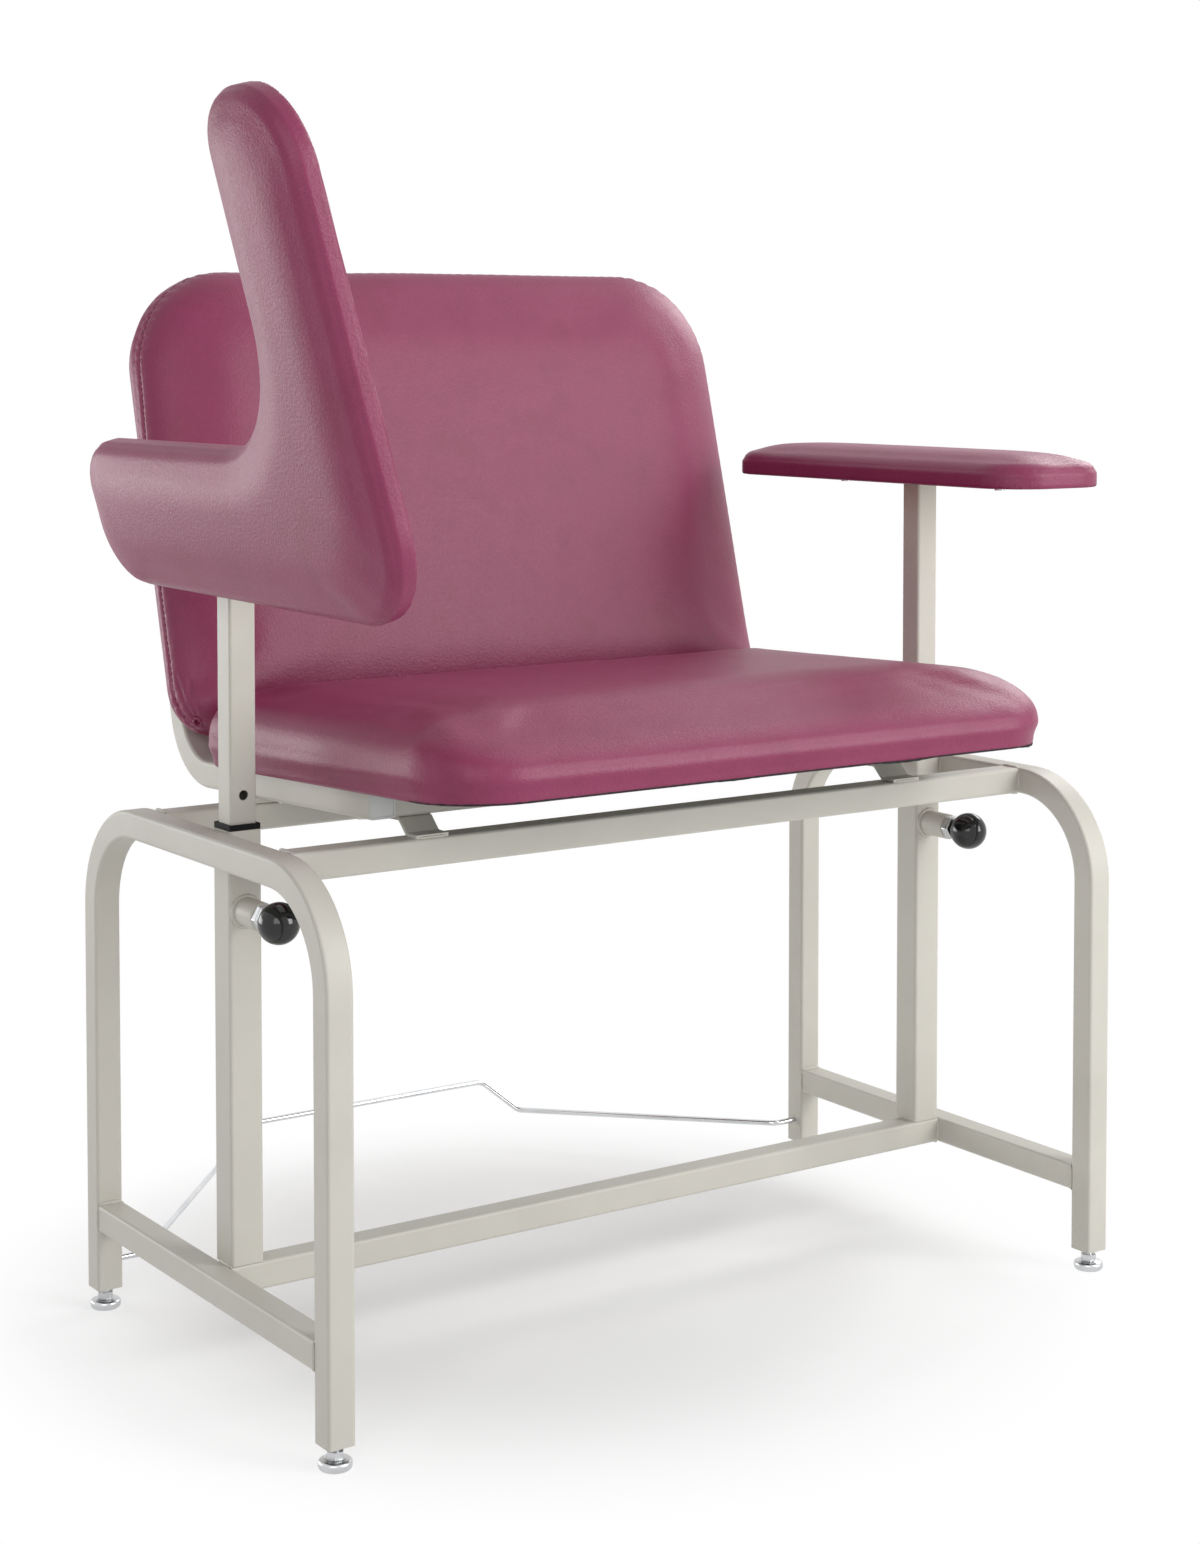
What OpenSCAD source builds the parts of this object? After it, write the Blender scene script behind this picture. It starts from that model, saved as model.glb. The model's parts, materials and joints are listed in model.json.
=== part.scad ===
// Wide phlebotomy chair: welded square-tube leg frame, padded seat and back, an L-shaped flip-up arm
// on the patient's right (-X), a fixed side arm on the patient's left (+X), both on sliding posts
// locked by spring plungers, levelling feet and a hinged wire wall guard. The chair faces -Y.

/* [Leg frame] */
// Width over the two side frames
frame_w = 870; // [820:1:930]
// Depth over the legs of a side frame
frame_d = 474.6; // [440:0.1:520]
// Side of the square tube of the leg frame
tube = 25.4; // [23:0.1:28]
// Wall of the square tubes
tube_wall = 1.5; // [1.2:0.1:2]
// Height of the top of the side frames above the floor
frame_top = 486.3; // [460:0.1:520]
// Centre-line radius of the side frame bends
frame_bend_r = 88.9; // [75:0.1:105]
// Height of the underside of the lower rails above the floor
low_rail_z = 77.5; // [65:0.5:110]
// Distance between the centre lines of the front and rear seat rails
rail_pitch = 241.6; // [220:0.1:270]

/* [Levelling feet] */
// Height of the leg ends above the floor
leg_z = 20; // [18:0.5:24]
// Diameter of the foot pad
foot_pad_d = 28.7; // [22:0.1:34]
// Height of the foot pad
foot_pad_h = 9; // [7:0.5:11]
// Width of the foot hexagon over its flats
foot_hex_af = 13; // [11:0.5:17]
// Height of the foot hexagon
foot_hex_h = 6; // [4:0.5:7]
// Diameter of the foot stem
foot_stem_d = 8; // [6:0.5:10]
// Length of the foot stem above its hexagon
foot_stem_l = 21; // [17:0.5:24]
// Height of the threaded insert in the leg
insert_h = 18; // [14:0.5:19]

/* [Sliding posts] */
// Side of the square posts
post_side = 25.4; // [23:0.1:28]
// Height of the lower end of the posts above the floor, posts at mid height
post_z = 290; // [280:1:296]
// Wall of the sleeve tube
sleeve_wall = 1.5; // [1.2:0.1:2.5]
// Height that the sleeves stand above the side frames
sleeve_rise = 0.7; // [0.2:0.1:3]
// Wall of the bushing in the sleeve
liner_wall = 1.425; // [1:0.025:2]
// Length of the bushing inside the sleeve
liner_l = 40; // [25:1:50]
// Height of the bushing's collar above the sleeve
collar_h = 5.2; // [3:0.1:8]
// Inset of the collar from the sleeve's outer face
collar_inset = 0.9; // [0.2:0.1:2]
// Distance between neighbouring index holes
hole_pitch = 33.8; // [25:0.1:38]
// Index holes above and below the middle one
hole_count = 3; // [2:1:3]
// Diameter of an index hole
hole_d = 9; // [8.6:0.1:11]
// Thickness of the plug flange at the foot of a post
guide_h = 6; // [3:0.5:8]
// Length of the plug inside the post
guide_l = 14; // [8:1:16]

/* [Spring plungers] */
// Height of the plunger axis above the floor
plunger_z = 416; // [405:1:420]
// Outer diameter of the welded boss
boss_d = 25.4; // [22:0.1:28]
// Length of the welded boss
boss_l = 28.1; // [24:0.1:34]
// Diameter of the plunger barrel
barrel_d = 16; // [15:0.5:18]
// Width of the plunger hexagon over its flats
plunger_af = 22; // [20:0.5:24]
// Height of the plunger hexagon
plunger_hex_h = 6; // [4:0.5:8]
// Diameter of the pin
pin_d = 8; // [6:0.1:8.4]
// Depth that the pin reaches past the post wall
pin_bite = 3; // [2:0.5:5]
// Diameter of the pin collar
pin_collar_d = 11; // [10:0.5:12]
// Diameter of the pull shaft
shaft_d = 6; // [5:0.1:6.4]
// Diameter of the ball knob
knob_d = 36.8; // [30:0.1:42]
// Distance of the ball centre from the plunger hexagon
knob_reach = 27.5; // [24:0.5:34]
// Diameter of the knob's neck
knob_neck_d = 14; // [11:0.5:18]
// Outer diameter of the plunger spring
spring_d = 10.4; // [9.5:0.1:10.6]
// Wire of the plunger spring
spring_wire = 1; // [0.8:0.1:1.2]
// Turns of the plunger spring
spring_turns = 6; // [4:1:8]

/* [Arm rests] */
// Height of the underside of the arm boards above the floor
arm_z = 771.5; // [750:0.5:790]
// Width of the flat bar under an arm board
arm_bar_w = 38; // [32:1:40]
// Length of the flat bar under an arm board
arm_bar_l = 280; // [260:1:320]
// Thickness of the flat bars
arm_bar_t = 3.2; // [2.5:0.1:4]
// Thickness of the plywood boards
board_t = 12.7; // [10:0.1:16]
// Thickness of an arm cushion with its board, at its edge
arm_pad_t = 26.5; // [26:0.5:36]
// Rise of an arm cushion towards its middle
arm_crown = 6; // [2:0.5:10]
// Width of the side arm cushion
side_pad_w = 140; // [130:1:165]
// Length of the side arm cushion
side_pad_l = 459; // [420:1:500]
// Corner radius of the side arm cushion
side_pad_r = 50; // [40:1:60]
// Place of the side arm cushion's middle behind the post
side_pad_y = 15; // [0:1:25]
// Place of the outer arm screws along the bars
arm_screw_y = 120; // [100:1:124]
// Place of the flip arm's inner screws along its bar
inner_screw_y = 55; // [40:1:70]

/* [Flip arm] */
// Angle of the raised flip arm from its lowered place
flip_rest = 105; // [98:1:110]
// Depth of the pivot below the underside of the board
pivot_drop = 31.5; // [30:0.5:35]
// Height of the post above the pivot
post_over_pivot = 18; // [16:0.5:18.5]
// Diameter of the pivot bolt
pivot_d = 8; // [6:0.5:9]
// Thickness of a bracket ear
ear_t = 3.2; // [2.5:0.1:4]
// Radius of the ear round the pivot
ear_r = 14; // [12:0.5:16]
// Diameter of the stop pin
stop_pin_d = 8; // [6:0.5:9]
// Depth of the stop pin below the pivot, arm lowered
stop_drop = 20.8; // [20.4:0.1:24]
// Inner edge of the pad's short leg from the pivot
pad_inner_u = 99; // [90:1:120]
// Outer edge of the pad from the pivot
pad_outer_u = 39; // [37:0.5:46]
// Tip of the pad's long leg from the pivot
pad_tip_u = 388; // [350:1:410]
// Rear end of the short leg behind the post
pad_rear_y = 158; // [145:1:175]
// Front edge of the pad in front of the post, outer end
pad_front_y = 375; // [355:1:395]
// Front edge of the pad in front of the post, at the tip
pad_tip_y = 363; // [345:1:385]
// Rear edge of the long leg in front of the post
pad_leg_y = 235; // [215:1:245]

/* [Seat] */
// Width of the seat and back cushions
seat_w = 680; // [655:1:700]
// Depth of the seat cushion
seat_d = 468; // [440:1:470]
// Distance of the seat's front edge in front of the frame's middle
seat_front_y = 280; // [270:1:300]
// Height of the seat board's underside above the floor, at the frame's middle
seat_z = 522; // [515:0.5:540]
// Rise of the seat towards the front
seat_rise = 2.6; // [1:0.1:4]
// Thickness of the seat cushion with its board, at its edge
seat_t = 70; // [60:1:80]
// Rise of the seat cushion towards its middle
seat_crown = 8; // [3:0.5:14]
// Drop of the seat cushion's front edge
seat_fall = 26; // [0:0.5:32]

/* [Back] */
// Lean of the back from upright
recline = 15; // [10:0.5:20]
// Height of the back cushion along its face
back_h = 461; // [440:1:480]
// Thickness of the back cushion with its board, at its edge
back_t = 70; // [60:1:74]
// Rise of the back cushion towards its middle
back_crown = 8; // [3:0.5:12]
// Depth of the back's lower edge below the end of the tube bend
back_drop = 23; // [16:0.5:24]
// Corner radius at the top of the back
back_top_r = 100; // [80:1:120]
// Corner radius at the bottom of the back
back_low_r = 75; // [70:1:90]

/* [Seat frame] */
// Side of the square tube of the seat frame
seat_tube = 25.4; // [23:0.1:26]
// Width over the side tubes of the seat frame
seat_frame_w = 642; // [630:1:655]
// Centre-line radius of the bend from seat to back
seat_bend_r = 66; // [60:0.5:70]
// Distance of the bend's centre behind the frame's middle
seat_bend_y = 209; // [200:0.5:215]
// Distance of the side tubes' front ends in front of the frame's middle
seat_tube_y = 104.5; // [100:0.5:112]
// Length of the uprights above the bend
upright_l = 245; // [225:1:280]
// Place of the rear cross tube behind the frame's middle
cross_rear_y = 150; // [140:1:165]
// Place of the back's cross tube above the bend
back_cross_s = 205; // [150:1:210]
// Width of the front straps
strap_w = 32; // [25:1:40]
// Thickness of the front straps
strap_t = 3; // [2:0.1:4]
// Distance of the front straps from the middle between them
strap_x = 268; // [200:1:280]
// Shift of both front straps towards the patient's right
strap_shift = 6.5; // [0:0.5:10]
// Reach of the front straps over the front rail
strap_foot = 16; // [12:0.5:20]

/* [Wall guard] */
// Diameter of the guard wire
wire_d = 6; // [5:0.5:8]
// Height of the guard's pivots above the floor
guard_z = 44; // [43:0.5:48]
// Inner bend radius of the guard wire, at the wire's centre
wire_bend_r = 14; // [10:1:16]
// Distance of the guard's elbows from the chair's middle
elbow_x = 383; // [350:1:390]
// Distance of the guard's knees from the chair's middle
knee_x = 190; // [180:1:230]
// Distance of the guard's rear bends from the chair's middle
rear_bend_x = 160; // [130:1:165]
// Reach of the knees behind the frame's middle
knee_y = 455; // [430:1:470]
// Reach of the guard's rear bar behind the frame's middle
guard_y = 487; // [480:1:510]
// Height of the knees above the floor
knee_z = 36; // [32:1:44]
// Height of the rear bar above the floor
guard_bar_z = 66; // [56:1:75]

/* [Fasteners] */
// Shank diameter of the screws
screw_d = 5; // [4:0.1:6]
// Head diameter of the screws
screw_head_d = 10; // [8:0.1:12]
// Head height of the screws
screw_head_h = 3; // [2:0.1:4]
// Depth of the screws in the boards
screw_grip = 9; // [7:0.5:10]

/* [Hidden] */
$fn = 48;
right = -1;
left = 1;
front = -1;
rear = 1;

// Clearances
overrun = 1;
running_gap = 0.1;
slide_gap = 0.15;
press_gap = 0.05;
ear_gap = 0.3;
contact_gap = 0.1;
cloth_gap = 1;

// Colours
frame_paint = [0.80, 0.78, 0.75];
vinyl = [0.52, 0.20, 0.34];
black_plastic = [0.06, 0.06, 0.07];
grey_plastic = [0.62, 0.62, 0.60];
bright_metal = [0.75, 0.76, 0.78];
plywood = [0.76, 0.62, 0.44];
black_cloth = [0.08, 0.08, 0.08];

// Leg frame
frame_inner_x = frame_w / 2 - tube;
leg_y = frame_d / 2 - tube / 2;
low_rail_top = low_rail_z + tube;
frame_bend_out = frame_bend_r + tube / 2;

// Sleeves, bushings and posts
sleeve_in = post_side + 2 * (slide_gap + liner_wall + running_gap);
sleeve_side = sleeve_in + 2 * sleeve_wall;
sleeve_top = frame_top + sleeve_rise;
post_x = frame_inner_x - sleeve_side / 2;
liner_side = sleeve_in - 2 * running_gap;
collar_side = sleeve_side - 2 * collar_inset;
guide_side = sleeve_in - 3 * slide_gap;
stub_side = post_side - 2 * tube_wall - 2 * running_gap;
pivot_z = arm_z - pivot_drop;
post_top_right = pivot_z + post_over_pivot;
post_top_left = arm_z - arm_bar_t;

// Plungers, measured forward from the middle of the post
plunger_root = sleeve_side / 2;
boss_end = plunger_root + boss_l;
barrel_gap = 2;
barrel_root = plunger_root + barrel_gap;
lip_h = 3;
collar_l = 3;
pin_tip = post_side / 2 - tube_wall - pin_bite;
pin_collar_at = barrel_root + lip_h;
chamber_d = pin_collar_d + 2 * running_gap;
hex_end = boss_end + plunger_hex_h;
knob_at = hex_end + knob_reach;
knob_gap = 1;
knob_neck_at = hex_end + knob_gap;
knob_bore_l = knob_d / 4;
spring_l = boss_end - pin_collar_at - collar_l;
spring_sides = 6;
spring_rings = 10;

// Arms
pad_edge_r = 11;
board_inset = 1.5;
ear_reach = post_side / 2 + ear_gap;
ear_w = ear_r + arm_bar_w / 2;
stop_boss_r = stop_pin_d;
stop_u = post_side / 2 + stop_pin_d / 2 + 2 * contact_gap;
stop_at = [stop_u, -stop_drop];
bar_w0 = pivot_drop - arm_bar_t;
bumper_inset = 3;
bumper_out = pad_outer_u - bumper_inset;
bumper_w = 10;
bumper_l = 20;
bumper_w0 = (post_side / 2 + contact_gap - bumper_out * cos(flip_rest)) / sin(flip_rest);
bolt_head_h = 5.3;
bolt_head_af = 13;
nut_h = 8;
arc_steps = 8;

// Corner points and radii of the L-shaped pad, from the pivot, going round to the left
outer_drift = 6;
flip_corners = [
  [pad_tip_u, -pad_tip_y], [pad_tip_u, -pad_leg_y], [pad_inner_u, -pad_leg_y],
  [pad_inner_u, pad_rear_y], [outer_drift - pad_outer_u, pad_rear_y], [-pad_outer_u, -pad_front_y]
];
tip_front_r = 72;
tip_rear_r = 48;
inside_r = 110;
rear_inner_r = 45;
rear_outer_r = 62;
front_outer_r = 75;
flip_heart = [pad_inner_u / 3, -(pad_front_y + pad_leg_y) / 2];
arm_run = side_pad_w / 4;
flip_radii = [tip_front_r, tip_rear_r, -inside_r, rear_inner_r, rear_outer_r, front_outer_r];

// Seat and back
cushion_edge_r = 24;
seat_front_r = 75;
seat_rear_r = 30;
wrap = 8;
cloth_t = 0.8;
cloth_inset = 14;
plug_head = 2.5;
plug_l = 16;
seat_inner_x = seat_frame_w / 2 - seat_tube;
seat_rear_y = seat_d - seat_front_y;
seat_bend_c = [seat_bend_y, seat_bend_r - seat_tube / 2];
seat_turn = 90 - recline + seat_rise;
bend_c = seat_point(seat_bend_c);
bend_steps = 16;
seat_screw_y = [-70, 75];
back_screw_s = [70, 170];

// Wall guard
guard_hole_y = leg_y;
guard_bite = 8.5;
guard_end_x = frame_inner_x + guard_bite;
run_d = wire_d - 2 * press_gap;
wire_lap = 0.5;

// Middle of the whole chair over the floor
out_x = post_x - pad_tip_u * cos(flip_rest) + (pivot_drop + arm_pad_t + arm_crown / 3) * sin(flip_rest);
shift_x = (out_x - post_x - side_pad_w / 2) / 2;
shift_y = (pad_front_y - guard_y - wire_d / 2) / 2;

// World place of a point of the seat's own side view
function seat_point(p) = [
  p[0] * cos(seat_rise) + p[1] * sin(seat_rise),
  seat_z - p[0] * sin(seat_rise) + p[1] * cos(seat_rise)
];

// Height of the side tubes' underside at a place along the chair
function tube_under(y) =
  seat_z - (y + seat_tube * sin(seat_rise)) * tan(seat_rise) - seat_tube * cos(seat_rise);

// Vector helpers for outlines and bent wire
function unit(v) = v / norm(v);
function around(list, i) = list[(i + len(list)) % len(list)];
function left_of(d) = [-d[1], d[0]];

// Corner point of an outline drawn in by a distance
function inset_corner(p, i, d) =
  let (n1 = left_of(unit(p[i] - around(p, i - 1))), n2 = left_of(unit(around(p, i + 1) - p[i])))
  p[i] + d * (n1 + n2) / (1 + n1 * n2);

// Outline with rounded corners, drawn in by a distance: negative radii mark inside corners
function rounded_outline(p, r, d = 0, steps = arc_steps) =
  let (q = [for (i = [0 : len(p) - 1]) inset_corner(p, i, d)])
  [for (i = [0 : len(q) - 1]) each corner_arc(q, r, i, d, steps)];

function corner_arc(q, r, i, d, steps) =
  let (
    a = unit(around(q, i - 1) - q[i]),
    b = unit(around(q, i + 1) - q[i]),
    half = acos(a * b) / 2,
    radius = r[i] < 0 ? -r[i] + d : max(r[i] - d, r[i] / 8),
    c = q[i] + unit(a + b) * radius / sin(half),
    start = q[i] + a * radius / tan(half) - c,
    turn = (r[i] < 0 ? -1 : 1) * (180 - 2 * half)
  )
  [for (k = [0 : steps])
    let (t = turn * k / steps)
    c + [start[0] * cos(t) - start[1] * sin(t), start[0] * sin(t) + start[1] * cos(t)]];

// Rectangle as corner points, going round to the left from the front left corner
function box_corners(x0, x1, y0, y1) = [[x1, y0], [x1, y1], [x0, y1], [x0, y0]];

// Rings of a cushion as inset and height: drawn in at the board, full at half height, rounded and crowned
draw_in = 2.5;
side_shares = [[1, 0], [0.3, 0.35], [0, 0.8], [0, 1]];
round_angles = [22.5, 45, 67.5, 90];
crown_shares = [0.3, 0.65, 1];
function cushion_rings(h, edge_r, crown, run) = concat(
  [for (s = side_shares) [draw_in * s[0], (h - edge_r) * s[1]]],
  [for (a = round_angles) [edge_r * (1 - cos(a)), h - edge_r * (1 - sin(a))]],
  [for (k = crown_shares) [edge_r + run * k, h + crown * (1 - (1 - k) * (1 - k))]]
);

// Cushion over an outline that its heart point sees all of; its front edge falls away before front_y
module cushion(p, r, heart, h, edge_r, crown, run, front_y = 0, fall = 0) {
  rings = cushion_rings(h, edge_r, crown, run);
  n = len(rounded_outline(p, r));
  points = [for (g = rings)
    let (fall_run = edge_r + run)
    for (q = rounded_outline(p, r, g[0]))
      [q[0], q[1], g[1] * (1 - fall / h * pow(max(0, 1 - (q[1] - front_y) / fall_run), 2))]];
  sides = [for (k = [0 : len(rings) - 2]) for (i = [0 : n - 1])
    let (a = k * n + i, b = k * n + (i + 1) % n)
    each [[a, b + n, b], [a, a + n, b + n]]];
  last = (len(rings) - 1) * n;
  hearts = [[heart[0], heart[1], 0], [heart[0], heart[1], h + crown]];
  bottom = [for (i = [0 : n - 1]) [i, (i + 1) % n, last + n]];
  top = [for (i = [0 : n - 1]) [last + (i + 1) % n, last + i, last + n + 1]];
  polyhedron(concat(points, hearts), concat(bottom, top, sides));
}

// Helical wire along Z, from its lower to its upper seat
module coil_spring(d, wire, turns, l) {
  steps = turns * spring_rings;
  rise = l - wire;
  points = [for (k = [0 : steps])
    let (
      t = 360 * k / spring_rings,
      z = wire / 2 + rise * k / steps,
      out = [cos(t), sin(t), 0]
    )
    for (j = [0 : spring_sides - 1])
      let (s = 360 * j / spring_sides)
      out * ((d - wire + wire * cos(s)) / 2) + [0, 0, z + wire / 2 * sin(s)]];
  skin = [for (k = [0 : steps - 1]) for (j = [0 : spring_sides - 1])
    let (
      a = k * spring_sides + j,
      b = k * spring_sides + (j + 1) % spring_sides
    )
    each [[a, b, b + spring_sides], [a, b + spring_sides, a + spring_sides]]];
  first = [for (j = [spring_sides - 1 : -1 : 0]) j];
  last = [for (j = [0 : spring_sides - 1]) steps * spring_sides + j];
  polyhedron(points, concat([first, last], skin));
}

// Placement
module chair() translate([shift_x, shift_y, 0]) children();
module at_post(side) translate([side * post_x, 0, 0]) children();
module at_plunger(side) at_post(side) translate([0, 0, plunger_z]) rotate([90, 0, 0]) children();
module seat_pose() translate([0, 0, seat_z]) rotate([-seat_rise, 0, 0]) children();
module back_pose() translate([0, bend_c[0], bend_c[1]]) rotate([90 - recline, 0, 0])
  translate([0, 0, -(seat_bend_r - seat_tube / 2)]) children();
module flip_pose() at_post(right) translate([0, 0, pivot_z]) rotate([0, -flip_rest, 0]) children();

// Slab of a side view (Y across, Z up), centred on X
module slab_x(t) rotate([90, 0, 90]) translate([0, 0, -t / 2]) linear_extrude(t) children();

// Square tube section
module tube2d(side, wall) difference() {
  square(side, center = true);
  square(side - 2 * wall, center = true);
}

// Straight square tube along X, centred
module tube_x(l, side) slab_x(l) tube2d(side, tube_wall);

// Straight square tube along Y from y0 to y1, with its axis at z 0
module tube_y(y0, y1, side) translate([0, y1, 0]) rotate([90, 0, 0]) linear_extrude(y1 - y0)
  tube2d(side, tube_wall);

// Upright door shape with rounded upper corners, and the band along it
module arch2d(w, h, r) {
  translate([-w / 2, 0]) square([w, h - r]);
  translate([r - w / 2, 0]) square([w - 2 * r, h]);
  for (s = [-1, 1]) translate([s * (w / 2 - r), h - r]) circle(r);
}
module arch_band2d(w, h, r, t) difference() {
  arch2d(w, h, r);
  translate([0, -overrun]) arch2d(w - 2 * t, h - t + overrun, r - t);
}

// Side view of the seat's side tube: along the seat, round the bend and up the back
function turned(p, a) = [p[0] * cos(a) - p[1] * sin(a), p[0] * sin(a) + p[1] * cos(a)];
function bend_arc(r, a0, a1) = [for (k = [0 : bend_steps])
  let (a = a0 + (a1 - a0) * k / bend_steps) seat_bend_c + r * [cos(a), sin(a)]];
module bent2d(y0, l, side) {
  r0 = seat_bend_r - side / 2;
  r1 = seat_bend_r + side / 2;
  polygon(concat(
    [[y0, seat_bend_c[1] - r1]], bend_arc(r1, -90, seat_turn - 90),
    [seat_bend_c + turned([l, -r1], seat_turn), seat_bend_c + turned([l, -r0], seat_turn)],
    bend_arc(r0, seat_turn - 90, -90), [[y0, seat_bend_c[1] - r0]]
  ));
}

// Two circles and the straight band between them
module link2d(p1, r1, p2, r2) {
  v = p2 - p1;
  a = atan2(v[1], v[0]);
  b = acos((r1 - r2) / norm(v));
  translate(p1) circle(r1);
  translate(p2) circle(r2);
  polygon([
    p1 + r1 * [cos(a - b), sin(a - b)], p2 + r2 * [cos(a - b), sin(a - b)],
    p2 + r2 * [cos(a + b), sin(a + b)], p1 + r1 * [cos(a + b), sin(a + b)]
  ]);
}

// Hexagon prism over its flats
module hex(af, h) cylinder(d = af / cos(30), h = h, $fn = 6);

// Leg frame
module side_frame(side) translate([side * (frame_w - tube) / 2, 0, leg_z]) difference() {
  h = frame_top - leg_z;
  slab_x(tube) arch_band2d(frame_d, h, frame_bend_out, tube);
  slab_x(tube - 2 * tube_wall) translate([0, -overrun]) arch_band2d(
    frame_d - 2 * tube_wall, h - tube_wall + overrun, frame_bend_out - tube_wall, tube - 2 * tube_wall);
  translate([-side * tube / 2, guard_hole_y, guard_z - leg_z]) rotate([0, 90, 0])
    cylinder(d = run_d + 2 * running_gap, h = 2 * (tube_wall + overrun), center = true);
}
module side_frame_right() color(frame_paint) chair() side_frame(right);
module side_frame_left() color(frame_paint) chair() side_frame(left);

module side_rail(side) translate([side * (frame_w - tube) / 2, 0, low_rail_z + tube / 2])
  tube_y(tube - frame_d / 2, frame_d / 2 - tube, tube);
module side_rail_right() color(frame_paint) chair() side_rail(right);
module side_rail_left() color(frame_paint) chair() side_rail(left);

module crossbar() color(frame_paint) chair()
  translate([0, (tube - sleeve_side) / 2, low_rail_z + tube / 2]) tube_x(2 * frame_inner_x, tube);

module seat_rail(end) translate([0, end * rail_pitch / 2, frame_top - tube / 2])
  tube_x(2 * frame_inner_x, tube);
module front_rail() color(frame_paint) chair() seat_rail(front);
module rear_rail() color(frame_paint) chair() seat_rail(rear);

module leg_inserts() color(black_plastic) chair() for (x = [right, left]) for (y = [front, rear])
  translate([x * (frame_w - tube) / 2, y * leg_y, leg_z]) difference() {
    linear_extrude(insert_h) square(tube - 2 * tube_wall - 2 * press_gap, center = true);
    translate([0, 0, -overrun]) cylinder(d = foot_stem_d + 2 * running_gap, h = insert_h + 2 * overrun);
  }

// Levelling feet
module foot_stem(x, y) translate([x * (frame_w - tube) / 2, y * leg_y, foot_pad_h]) {
  hex(foot_hex_af, foot_hex_h);
  translate([0, 0, foot_hex_h]) cylinder(d = foot_stem_d, h = foot_stem_l);
}
module foot_pad(x, y) translate([x * (frame_w - tube) / 2, y * leg_y, 0]) {
  rim_h = foot_pad_h / 3;
  cylinder(d = foot_pad_d, h = rim_h);
  translate([0, 0, rim_h]) cylinder(d1 = foot_pad_d, d2 = foot_hex_af, h = foot_pad_h - rim_h);
}
module foot_stem_front_right() color(bright_metal) chair() foot_stem(right, front);
module foot_stem_front_left() color(bright_metal) chair() foot_stem(left, front);
module foot_stem_rear_right() color(bright_metal) chair() foot_stem(right, rear);
module foot_stem_rear_left() color(bright_metal) chair() foot_stem(left, rear);
module foot_pad_front_right() color(bright_metal) chair() foot_pad(right, front);
module foot_pad_front_left() color(bright_metal) chair() foot_pad(left, front);
module foot_pad_rear_right() color(bright_metal) chair() foot_pad(right, rear);
module foot_pad_rear_left() color(bright_metal) chair() foot_pad(left, rear);

// Sleeves and their bushings
module sleeve(side) difference() {
  at_post(side) translate([0, 0, low_rail_top]) linear_extrude(sleeve_top - low_rail_top)
    tube2d(sleeve_side, sleeve_wall);
  at_plunger(side) translate([0, 0, plunger_root - sleeve_wall - overrun])
    cylinder(d = pin_d + 2 * running_gap, h = sleeve_wall + 2 * overrun);
}
module sleeve_right() color(frame_paint) chair() sleeve(right);
module sleeve_left() color(frame_paint) chair() sleeve(left);

module post_bushings() color(black_plastic) chair() for (side = [right, left])
  at_post(side) translate([0, 0, sleeve_top]) difference() {
    union() {
      linear_extrude(collar_h) square(collar_side, center = true);
      translate([0, 0, -liner_l]) linear_extrude(liner_l) square(liner_side, center = true);
    }
    translate([0, 0, -liner_l - overrun]) linear_extrude(liner_l + collar_h + 2 * overrun)
      square(post_side + 2 * slide_gap, center = true);
  }

// Spring plungers
module plunger_bosses() color(frame_paint) chair() for (side = [right, left])
  at_plunger(side) translate([0, 0, plunger_root]) difference() {
    cylinder(d = boss_d, h = boss_l);
    translate([0, 0, -overrun]) cylinder(d = barrel_d + 2 * press_gap, h = boss_l + 2 * overrun);
  }

module plunger_bodies() color(bright_metal) chair() for (side = [right, left]) at_plunger(side) difference() {
  union() {
    translate([0, 0, barrel_root]) cylinder(d = barrel_d, h = boss_end - barrel_root);
    translate([0, 0, boss_end]) hex(plunger_af, plunger_hex_h);
  }
  translate([0, 0, barrel_root - overrun]) cylinder(d = pin_d + 2 * running_gap, h = lip_h + 2 * overrun);
  translate([0, 0, pin_collar_at]) cylinder(d = chamber_d, h = boss_end - pin_collar_at);
  translate([0, 0, boss_end - overrun])
    cylinder(d = shaft_d + 2 * running_gap, h = plunger_hex_h + 2 * overrun);
}

module plunger_spring(side) at_plunger(side) translate([0, 0, pin_collar_at + collar_l])
  coil_spring(spring_d, spring_wire, spring_turns, spring_l);
module plunger_spring_right() color(bright_metal) chair() plunger_spring(right);
module plunger_spring_left() color(bright_metal) chair() plunger_spring(left);

module plunger_pin(side) at_plunger(side) {
  translate([0, 0, pin_tip]) cylinder(d = pin_d, h = pin_collar_at - pin_tip);
  translate([0, 0, pin_collar_at]) cylinder(d = pin_collar_d, h = collar_l);
  translate([0, 0, pin_collar_at + collar_l])
    cylinder(d = shaft_d, h = knob_at - knob_bore_l - pin_collar_at - collar_l);
}
module plunger_pin_right() color(bright_metal) chair() plunger_pin(right);
module plunger_pin_left() color(bright_metal) chair() plunger_pin(left);

module knob(side) at_plunger(side) difference() {
  union() {
    translate([0, 0, knob_at]) sphere(d = knob_d);
    translate([0, 0, knob_neck_at]) cylinder(d = knob_neck_d, h = knob_at - knob_neck_at);
  }
  translate([0, 0, knob_neck_at - overrun])
    cylinder(d = shaft_d + 2 * press_gap, h = knob_at - knob_bore_l - knob_neck_at + overrun);
}
module knob_right() color(black_plastic) chair() knob(right);
module knob_left() color(black_plastic) chair() knob(left);

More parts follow.
